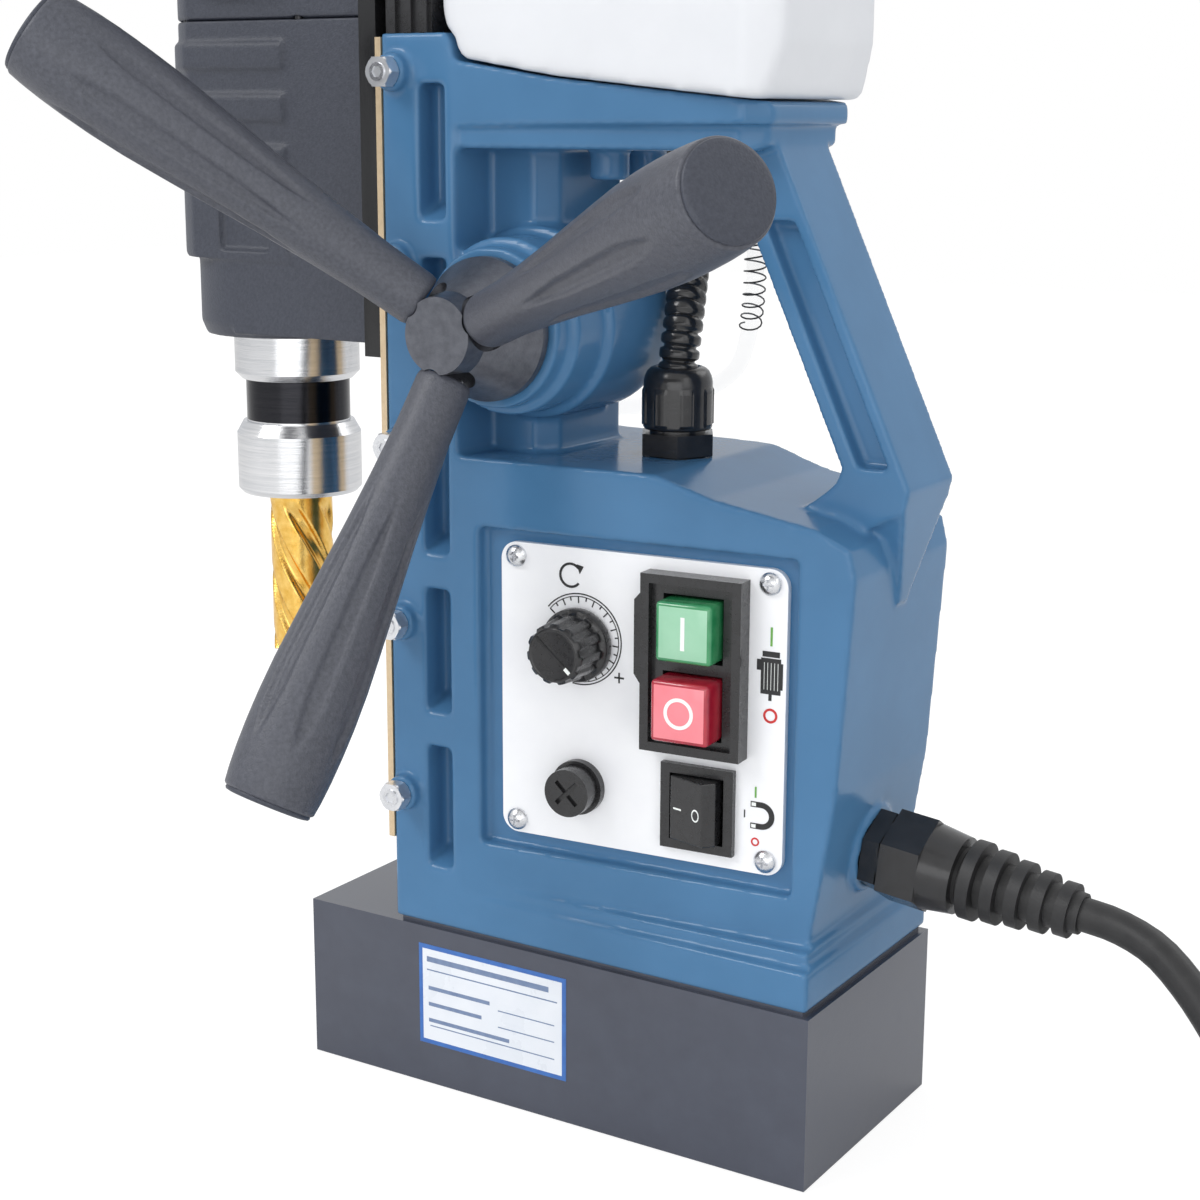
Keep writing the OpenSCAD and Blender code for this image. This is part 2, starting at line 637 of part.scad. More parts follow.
module coolant_valve() color(brass) translate(valve_at) difference() {
    union() {
        zcyl(0, 0, 262, 279.9, 5);
        zcyl(0, 0, 279.8, 299, 3.6);
        zcyl(0, 0, 254, 262.1, 3.4);
    }
    zcyl(0, 0, 250, 300, 1.6);
    ycyl(0, -6, 6, 271, 2.45);
}

module valve_lever() color(dark_steel) translate(valve_at) {
    ycyl(0, -4, 9, 271, 2.4);
    block([-3.5, 6, 269], [16, 9, 273]);
    ycyl(16, 6, 9, 271, 3);
}

module coolant_hose() color([0.85, 0.9, 0.92]) sweep(dense(hose_route, 40), 2.9, 8);

module slide_plate() color(plastic_black) {
    block([plate_front, -side + 0.5, plate_bottom], [plate_back, side - 0.5, plate_top]);
    prism_xy([[plate_back - 0.1, -17.1], [column_x, -18.1], [column_x + 11.9, -23], [column_x + 11.9, 23],
        [column_x, 18], [plate_back - 0.1, 17]], plate_bottom, plate_top);
}

module rack() color(steel) {
    pitch = PI * rack_module;
    first = ceil((plate_bottom + 3 - feed_z) / pitch);
    last = floor((plate_top - 3 - feed_z) / pitch) - 1;
    root = rack_line - 1.25 * rack_module;
    tip = rack_line + 0.85 * rack_module;
    low = feed_z + (first - 0.5) * pitch;
    high = feed_z + (last + 1.5) * pitch;
    prism_xz(concat([[column_x + 11.92, low], [root, low]],
        [for (i = [first:last]) let (z = feed_z + (i + 0.5) * pitch) each [
            [root, z - 0.34 * pitch], [rack_line, z - 0.2 * pitch], [tip, z - 0.1 * pitch],
            [tip, z + 0.1 * pitch], [rack_line, z + 0.2 * pitch], [root, z + 0.34 * pitch]]],
        [[root, high], [column_x + 11.92, high]]), -8, 8);
}

// A round front about the spindle's axis, with flat sides back to the slide plate.
module head_plan(r, half) {
    intersection() {
        union() {
            translate([spindle_x, 0]) circle(r = r);
            translate([spindle_x, -half]) square([plate_front - spindle_x - 0.01, 2 * half]);
        }
        translate([spindle_x - 60, -half]) square([200, 2 * half]);
    }
}

module gearbox_housing() color(housing_grey) difference() {
    union() {
        translate([0, 0, nose_z + 4]) linear_extrude(26.5) head_plan(nose_r, nose_r);
        translate([spindle_x, 0, nose_z]) cylinder(h = 4.01, r1 = nose_r - 1.6, r2 = nose_r);
        translate([spindle_x, -nose_r, nose_z + 1.5]) cube([plate_front - spindle_x - 0.01, 2 * nose_r, 3]);
        translate([0, 0, 251]) linear_extrude(gearcase_top - 251) head_plan(nose_r + 4, 30);
        intersection() {
            translate([0, 0, nose_z + 24]) linear_extrude(5.5) head_plan(nose_r + 4, 30);
            block([-200, -40, nose_z], [-97, 40, 330]);
        }
        for (i = [0:2]) intersection() {
            translate([0, 0, 272 + 15 * i]) linear_extrude(7.5) head_plan(nose_r + 5.3, 31.3);
            block([-200, -40, 250], [-97, 40, 330]);
        }
        ycyl(-103, 26, 31.4, 236, 5);
    }
    zcyl(spindle_x, 0, nose_z - 1, 251, 18.52);
    zcyl(lay_x, 0, 243, 251, 8.02);
    for (y = [-32, 28.3]) for (x = [[-124, -104.5], [-98, -83]]) block([x[0], y, 248.8], [x[1], y + 3.7, 262]);
    intersection() {
        translate([0, 0, 250]) linear_extrude(70) head_plan(nose_r + 0.2, 26.5);
        block([-200, -40, 249], [plate_front - 4.5, 40, 330]);
    }
    ycyl(-103, 24, 33, 236, 2.3);
    for (p = case_screws) zcyl(p[0], p[1], gearcase_top - 12, gearcase_top + 1, 1.27);
}

module gearbox_screws() color(dark_steel) for (p = case_screws) {
    zcyl(p[0], p[1], gearcase_top - 11.8, gearcase_top + 20.1, 1.25);
    zcyl(p[0], p[1], gearcase_top + 20.02, gearcase_top + 23, 2.6);
}

module motor_housing() color(housing_grey) difference() {
    union() {
        translate([0, 0, gearcase_top + 0.02]) linear_extrude(8) head_plan(nose_r + 4, 30);
        translate([motor_x, 0, gearcase_top + 8]) cylinder(h = 10, r1 = 34.5, r2 = motor_r);
        zcyl(motor_x, 0, gearcase_top + 17.9, motor_top - 38, motor_r);
        block([motor_x, -24, gearcase_top + 8], [plate_front - 0.01, 24, plate_top - 6]);
    }
    zcyl(motor_x, 0, gearcase_top + 20, motor_top - 37, motor_r - 4);
    zcyl(motor_x, 0, gearcase_top - 1, gearcase_top + 21, 9);
    zcyl(motor_x, 0, gearcase_top + 10.5, gearcase_top + 21, 13.02);
    zcyl(lay_x, 0, gearcase_top - 1, gearcase_top + 7, 8.02);
    for (p = case_screws) zcyl(p[0], p[1], gearcase_top - 1, gearcase_top + 21, 1.27);
    for (s = [-1, 1]) translate([motor_x, 0, brush_z]) rotate([90 * s, 0, 0])
        translate([0, 0, motor_r - 8]) cylinder(h = 12, r = 4.53);
    for (a = [60:20:300]) if (abs(a - 90) > 20 && abs(a - 270) > 20) translate([motor_x, 0, 0]) rotate(a)
        block([motor_r - 6, -2, 398], [motor_r + 2, 2, 415]);
    ycyl(-101, 34, 46, 350, 6.02);
}

module motor_cap() color(housing_grey) difference() {
    union() {
        difference() {
            union() {
                zcyl(motor_x, 0, motor_top - 37.98, motor_top - 8, motor_r - 1.5);
                translate([motor_x, 0, motor_top - 8 - eps]) cylinder(h = 8, r1 = motor_r - 1.5, r2 = motor_r - 9);
            }
            zcyl(motor_x, 0, motor_top - 39, motor_top - 12, motor_r - 5.5);
            for (a = [0:20:340]) translate([motor_x, 0, 0]) rotate(a)
                block([motor_r - 8, -1.6, motor_top - 30], [motor_r + 2, 1.6, motor_top - 16]);
        }
        zcyl(motor_x, 0, motor_top - 30, motor_top - 11.9, 14);
        for (a = [10, 130, 250]) translate([motor_x, 0, 0]) rotate(a)
            block([13, -1.5, motor_top - 28], [motor_r - 5, 1.5, motor_top - 11.9]);
    }
    zcyl(motor_x, 0, motor_top - 31, motor_top - 20, 11.02);
}

module stator() color(dark_steel) difference() {
    zcyl(motor_x, 0, 342, 396, motor_r - 4.05);
    zcyl(motor_x, 0, 341, 397, 24.5);
    for (a = [0, 180]) translate([motor_x, 0, 341]) rotate(a) translate([20, 0, 0]) cube([26, 13, 120], center = true);
}

module brush_caps() color(plastic_black) for (s = [-1, 1]) translate([motor_x, 0, brush_z]) rotate([90 * s, 0, 0])
    difference() {
        translate([0, 0, 13.4]) cylinder(h = motor_r - 12.2, r = 4.5);
        translate([0, 0, motor_r + 1]) cube([7, 1.2, 3], center = true);
    }

module race(x, z, bore, outer, h) {
    difference() {
        zcyl(x, 0, z, z + h, outer);
        zcyl(x, 0, z - 1, z + h + 1, bore);
    }
}

module ball_bearings() color(steel) {
    race(spindle_x, nose_z + 5, 10, 18.5, 9);
    race(spindle_x, nose_z + 18, 10, 18.5, 9);
    race(lay_x, 243.2, 5, 8, 6.5);
    race(lay_x, gearcase_top + 1, 5, 8, 5.5);
    race(motor_x, gearcase_top + 10.7, 6, 13, 9);
    race(motor_x, motor_top - 29, 4, 11, 8);
}

module conduit_elbow() color(plastic_black) {
    difference() {
        block([-108, 41.2, 342], [-94, 57, 358]);
        zcyl(motor_x, 0, 340, 360, motor_r + 0.02);
    }
    intersection() {
        ycyl(-101, 39.5, 46, 350, 6);
        zcyl(motor_x, 0, 340, 360, motor_r + 0.5);
    }
    difference() {
        xcyl(-94.1, -84, 50, 350, 8.5);
        xcyl(-90, -83, 50, 350, 5.9);
    }
}

// Drill spindle: output shaft with the tool socket in its end.
module spindle() color(steel) difference() {
    union() {
        zcyl(spindle_x, 0, nose_z - 12.5, nose_z - 0.3, 19.7);
        translate([spindle_x, 0, nose_z - 14.7]) cylinder(h = 2.21, r1 = 17.5, r2 = 19.7);
        zcyl(spindle_x, 0, nose_z - 50, nose_z - 14.6, 16.4);
        zcyl(spindle_x, 0, nose_z - 35, nose_z - 34, 18.15);
        zcyl(spindle_x, 0, nose_z - 0.4, nose_z + 2, 12);
        zcyl(spindle_x, 0, nose_z + 1.9, 286, 9.96);
    }
    zcyl(spindle_x, 0, nose_z - 51, nose_z - 12, 9.53);
}

module spindle_gear() color(dark_steel) translate([spindle_x, 0, 270]) difference() {
    linear_extrude(12) gear_outline(spindle_teeth, gear_module, 0);
    translate([0, 0, -1]) cylinder(h = 14, r = 9.97);
}

// Quick-change sleeve: it is pushed up towards the collar to let the cutter go.
module release_sleeve() color(steel) difference() {
    union() {
        translate([spindle_x, 0, nose_z - 32]) cylinder(h = 3.8, r1 = 19.7, r2 = 17.6);
        zcyl(spindle_x, 0, nose_z - 49.5, nose_z - 31.9, 19.7);
        translate([spindle_x, 0, nose_z - 51]) cylinder(h = 1.51, r1 = 18.4, r2 = 19.7);
    }
    zcyl(spindle_x, 0, nose_z - 52, nose_z - 27, 16.46);
    zcyl(spindle_x, 0, nose_z - 46, nose_z - 33, 18.3);
}

module sleeve_spring() color(dark_steel) difference() {
    zcyl(spindle_x, 0, nose_z - 45.9, nose_z - 35.1, 18);
    zcyl(spindle_x, 0, nose_z - 47, nose_z - 34, 16.8);
}

module annular_cutter() color(gold) difference() {
    union() {
        zcyl(spindle_x, 0, nose_z - 50.5, nose_z - 19, 9.5);
        zcyl(spindle_x, 0, nose_z - 104, nose_z - 50.4, cutter_d / 2);
    }
    zcyl(spindle_x, 0, nose_z - 105, nose_z - 53, cutter_d / 2 - 3.6);
    zcyl(spindle_x, 0, nose_z - 54, nose_z - 18, 3.3);
    for (a = [0:60:300]) translate([spindle_x, 0, nose_z - 105]) rotate(a)
        block([cutter_d / 2 - 3.8, -1.2, 0], [cutter_d / 2 + 1, 1.2, 6]);
}

module pilot_pin() color(steel) {
    zcyl(spindle_x, 0, nose_z - 96, nose_z - 14, 3.15);
    translate([spindle_x, 0, nose_z - 101]) cylinder(h = 5.01, r1 = 0.4, r2 = 3.15);
}

module layshaft() color(dark_steel) translate([lay_x, 0, 0]) {
    translate([0, 0, 243.4]) cylinder(h = gearcase_top + 6 - 243.4, r = 4.97);
    translate([0, 0, 268]) linear_extrude(16) gear_outline(lay_pinion_teeth, gear_module, 180 + 180 / lay_pinion_teeth);
    translate([0, 0, 291]) linear_extrude(10) gear_outline(lay_gear_teeth, gear_module, 180 + 180 / lay_gear_teeth);
}

// Motor armature: pinion, shaft, laminated core and commutator.
module armature() color(dark_steel) translate([motor_x, 0, 0]) {
    translate([0, 0, 289]) linear_extrude(15) gear_outline(motor_teeth, gear_module, 0);
    translate([0, 0, 303.9]) cylinder(h = 32.6, r = 5.97);
    translate([0, 0, 336.4]) cylinder(h = motor_top - 30 - 336.4, r = 7);
    translate([0, 0, motor_top - 30.1]) cylinder(h = 8.5, r = 3.97);
    translate([0, 0, 344]) cylinder(h = 50, r = 23.6);
    translate([0, 0, 414]) cylinder(h = 20, r = 13);
}

module cooling_fan() color(plastic_black) difference() {
    union() {
        zcyl(motor_x, 0, 398, 400, 34);
        zcyl(motor_x, 0, 399.9, 410, 10);
        for (a = [0:36:324]) translate([motor_x, 0, 0]) rotate(a) block([9, -0.8, 399.9], [33, 0.8, 410]);
    }
    zcyl(motor_x, 0, 397, 411, 7.02);
}

module on_feed_axis() {
    translate([feed_x, 0, feed_z]) children();
}

module capstan_hub() color(dark_steel) on_feed_axis() difference() {
    union() {
        translate([0, -45.3, 0]) rotate([90, 0, 0]) cylinder(h = 2.5, r = 19.7);
        translate([0, -47.79, 0]) rotate([90, 0, 0]) cylinder(h = 15, r1 = 19.7, r2 = 11.4);
        translate([0, -62.78, 0]) rotate([90, 0, 0]) cylinder(h = 6.5, r1 = 11.4, r2 = 10.3);
    }
    rotate([90, 0, 0]) cylinder(h = 60, r = 7.96);
    for (k = [0:2]) handle_frame(k) translate([0, 0, 8]) cylinder(h = 40, r = 7.72);
}

module handle_frame(k) {
    translate([0, -56, 0]) rotate([0, -handle_turn - 120 * k, 0]) rotate([0, 0, -handle_lean]) rotate([0, 90, 0])
        children();
}

module pinion_shaft() color(steel) on_feed_axis() {
    translate([0, 25, 0]) rotate([90, 0, 0]) cylinder(h = 84.9, r = 7.95);
    translate([0, 9, 0]) rotate([90, 0, 0]) linear_extrude(18) gear_outline(feed_teeth, rack_module, 180);
}

module feed_handles() color(plastic_black) on_feed_axis() for (k = [0:2]) handle_frame(k) rotate_extrude()
    polygon([[0, 14], [7.7, 14], [7.8, 30], [9.8, 60], [12.6, 90], [13.8, 110], [13.5, handle_len - 12],
        [12.3, handle_len - 3], [11, handle_len], [0, handle_len]]);

frame_casting();
magnet_body();
magnet_coil();
magnet_potting();
magnet_bolts();
wear_strips();
gib();
gib_screws();
gib_lock_nuts();
pinion_bushes();
pinion_cover();
column_cap();
control_panel();
panel_screws();
switch_body();
rocker_frame();
fuse_holder();
potentiometer();
circuit_board();
mains_gland_body();
mains_gland_nut();
strain_relief();
mains_cord();
mains_cord_coil();
mains_plug();
motor_gland_body();
motor_gland_nut();
motor_conduit();
coolant_tank();
tank_lid();
coolant_valve();
valve_lever();
coolant_hose();
slide_plate();
rack();
gearbox_housing();
motor_housing();
motor_cap();
stator();
brush_caps();
gearbox_screws();
ball_bearings();
conduit_elbow();
spindle();
spindle_gear();
annular_cutter();
pilot_pin();
release_sleeve();
sleeve_spring();
layshaft();
armature();
cooling_fan();
capstan_hub();
pinion_shaft();
feed_handles();
speed_knob();
start_button();
stop_button();
magnet_rocker();
fuse_cap();
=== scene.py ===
import json
import math

import bmesh
import bpy
from mathutils import Matrix, Vector


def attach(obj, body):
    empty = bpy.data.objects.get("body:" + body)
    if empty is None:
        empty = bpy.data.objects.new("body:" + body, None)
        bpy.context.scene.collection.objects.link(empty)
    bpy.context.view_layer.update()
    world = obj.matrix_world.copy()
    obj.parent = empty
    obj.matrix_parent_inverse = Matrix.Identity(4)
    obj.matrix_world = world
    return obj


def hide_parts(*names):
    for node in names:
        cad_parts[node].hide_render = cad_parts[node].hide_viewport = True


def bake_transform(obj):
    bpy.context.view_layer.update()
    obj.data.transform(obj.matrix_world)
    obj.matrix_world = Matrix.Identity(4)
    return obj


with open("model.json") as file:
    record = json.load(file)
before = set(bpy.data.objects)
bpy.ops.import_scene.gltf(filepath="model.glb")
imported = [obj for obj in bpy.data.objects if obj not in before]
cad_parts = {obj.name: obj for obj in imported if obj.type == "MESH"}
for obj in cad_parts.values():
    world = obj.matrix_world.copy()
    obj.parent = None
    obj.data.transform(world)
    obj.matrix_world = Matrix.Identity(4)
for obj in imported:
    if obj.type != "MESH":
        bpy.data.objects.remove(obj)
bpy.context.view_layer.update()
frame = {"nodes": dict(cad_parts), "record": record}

nodes = frame["nodes"]
MM = 0.001


def v(x, y, z):
    """A point given in millimetres."""
    return Vector((x, y, z)) * MM


# ---------------------------------------------------------------- camera, floor and light

YAW, PITCH, ROLL = (math.radians(a) for a in (32.05, 12.80, 0.23))
CAMERA_AT = v(324.8, -528.3, 289.9)
LENS = 64.41


def make_camera():
    back = Vector((math.sin(YAW) * math.cos(PITCH), -math.cos(YAW) * math.cos(PITCH), math.sin(PITCH)))
    right = Vector((0, 0, 1)).cross(back).normalized()
    up = back.cross(right)
    across = math.cos(ROLL) * right + math.sin(ROLL) * up
    upward = -math.sin(ROLL) * right + math.cos(ROLL) * up
    data = bpy.data.cameras.new("camera")
    data.lens = LENS
    data.sensor_width = 36
    data.clip_start = 0.02
    camera = bpy.data.objects.new("camera", data)
    turn = Matrix((across, upward, back)).transposed().to_4x4()
    camera.matrix_world = Matrix.Translation(CAMERA_AT) @ turn
    bpy.context.collection.objects.link(camera)
    bpy.context.scene.camera = camera


def add_area(name, at, target, size, power, colour=(1, 1, 1)):
    data = bpy.data.lights.new(name, "AREA")
    data.shape = "RECTANGLE"
    data.size, data.size_y = size
    data.energy = power
    data.color = colour
    light = bpy.data.objects.new(name, data)
    light.location = at
    light.rotation_euler = (Vector(target) - Vector(at)).to_track_quat("-Z", "Y").to_euler()
    bpy.context.collection.objects.link(light)


def make_world():
    world = bpy.data.worlds.new("studio")
    bpy.context.scene.world = world
    world.use_nodes = True
    tree = world.node_tree
    tree.nodes.clear()
    out = tree.nodes.new("ShaderNodeOutputWorld")
    mix = tree.nodes.new("ShaderNodeMixShader")
    path = tree.nodes.new("ShaderNodeLightPath")
    seen = tree.nodes.new("ShaderNodeBackground")
    seen.inputs["Color"].default_value = (1.0, 1.0, 1.0, 1)
    seen.inputs["Strength"].default_value = 1.0
    lit = tree.nodes.new("ShaderNodeBackground")
    lit.inputs["Strength"].default_value = 0.88
    coords = tree.nodes.new("ShaderNodeTexCoord")
    split = tree.nodes.new("ShaderNodeSeparateXYZ")
    ramp = tree.nodes.new("ShaderNodeValToRGB")
    ramp.color_ramp.elements[0].position = 0.30
    ramp.color_ramp.elements[0].color = (0.45, 0.46, 0.48, 1)
    ramp.color_ramp.elements[1].position = 0.75
    ramp.color_ramp.elements[1].color = (1.0, 1.0, 1.0, 1)
    middle = ramp.color_ramp.elements.new(0.50)
    middle.color = (0.78, 0.80, 0.83, 1)
    scale = tree.nodes.new("ShaderNodeMapRange")
    scale.inputs["From Min"].default_value = -1
    scale.inputs["From Max"].default_value = 1
    link = tree.links.new
    link(coords.outputs["Generated"], split.inputs[0])
    link(split.outputs["Z"], scale.inputs["Value"])
    link(scale.outputs["Result"], ramp.inputs["Fac"])
    link(ramp.outputs["Color"], lit.inputs["Color"])
    link(path.outputs["Is Camera Ray"], mix.inputs["Fac"])
    link(lit.outputs[0], mix.inputs[1])
    link(seen.outputs[0], mix.inputs[2])
    link(mix.outputs[0], out.inputs["Surface"])


# ---------------------------------------------------------------- materials


def surface(name, light, dark, rough, spread=0.06, metal=0.0, coat=0.0, speck=3.0, bump=0.05, bump_mm=0.6,
            stretch=(1, 1, 1), coat_rough=0.06, alpha=1.0, specular=0.5):
    """A procedural surface: mottled colour and roughness, fine bump. speck and bump_mm are in millimetres."""
    mat = bpy.data.materials.new(name)
    mat.use_nodes = True
    tree = mat.node_tree
    bsdf = tree.nodes["Principled BSDF"]
    new, link = tree.nodes.new, tree.links.new
    coords = new("ShaderNodeTexCoord")
    mapping = new("ShaderNodeMapping")
    mapping.inputs["Scale"].default_value = stretch
    link(coords.outputs["Object"], mapping.inputs["Vector"])
    mottle = new("ShaderNodeTexNoise")
    mottle.inputs["Scale"].default_value = 1000 / speck
    mottle.inputs["Detail"].default_value = 5
    link(mapping.outputs[0], mottle.inputs["Vector"])
    ramp = new("ShaderNodeValToRGB")
    ramp.color_ramp.elements[0].position = 0.32
    ramp.color_ramp.elements[0].color = (*dark, 1)
    ramp.color_ramp.elements[1].position = 0.68
    ramp.color_ramp.elements[1].color = (*light, 1)
    link(mottle.outputs["Fac"], ramp.inputs["Fac"])
    link(ramp.outputs["Color"], bsdf.inputs["Base Color"])
    rough_map = new("ShaderNodeMapRange")
    rough_map.inputs["To Min"].default_value = max(0.02, rough - spread)
    rough_map.inputs["To Max"].default_value = min(1.0, rough + spread)
    link(mottle.outputs["Fac"], rough_map.inputs["Value"])
    link(rough_map.outputs["Result"], bsdf.inputs["Roughness"])
    grain = new("ShaderNodeTexNoise")
    grain.inputs["Scale"].default_value = 1000 / bump_mm
    grain.inputs["Detail"].default_value = 3
    link(mapping.outputs[0], grain.inputs["Vector"])
    relief = new("ShaderNodeBump")
    relief.inputs["Strength"].default_value = bump
    relief.inputs["Distance"].default_value = 0.0003
    link(grain.outputs["Fac"], relief.inputs["Height"])
    link(relief.outputs["Normal"], bsdf.inputs["Normal"])
    bsdf.inputs["Metallic"].default_value = metal
    bsdf.inputs["Coat Weight"].default_value = coat
    bsdf.inputs["Coat Roughness"].default_value = coat_rough
    bsdf.inputs["Alpha"].default_value = alpha
    bsdf.inputs["Specular IOR Level"].default_value = specular
    return mat


def band_by_height(mat, bands):
    """Recolours a surface by height: bands are (z in mm, colour), each holding up to the next one's height."""
    tree = mat.node_tree
    bsdf = tree.nodes["Principled BSDF"]
    new, link = tree.nodes.new, tree.links.new
    coords = new("ShaderNodeTexCoord")
    split = new("ShaderNodeSeparateXYZ")
    link(coords.outputs["Object"], split.inputs[0])
    low, high = bands[0][0], bands[-1][0] + 1
    to_unit = new("ShaderNodeMapRange")
    to_unit.inputs["From Min"].default_value = low * MM
    to_unit.inputs["From Max"].default_value = high * MM
    link(split.outputs["Z"], to_unit.inputs["Value"])
    ramp = new("ShaderNodeValToRGB")
    ramp.color_ramp.interpolation = "CONSTANT"
    for i, (z, colour) in enumerate(bands):
        place = (z - low) / (high - low)
        if i < 2:
            stop = ramp.color_ramp.elements[i]
            stop.position = place
        else:
            stop = ramp.color_ramp.elements.new(place)
        stop.color = (*colour, 1)
    link(to_unit.outputs["Result"], ramp.inputs["Fac"])
    blend = new("ShaderNodeMix")
    blend.data_type = "RGBA"
    blend.blend_type = "MULTIPLY"
    blend.inputs["Factor"].default_value = 1
    link(bsdf.inputs["Base Color"].links[0].from_socket, blend.inputs["A"])
    link(ramp.outputs["Color"], blend.inputs["B"])
    link(blend.outputs["Result"], bsdf.inputs["Base Color"])


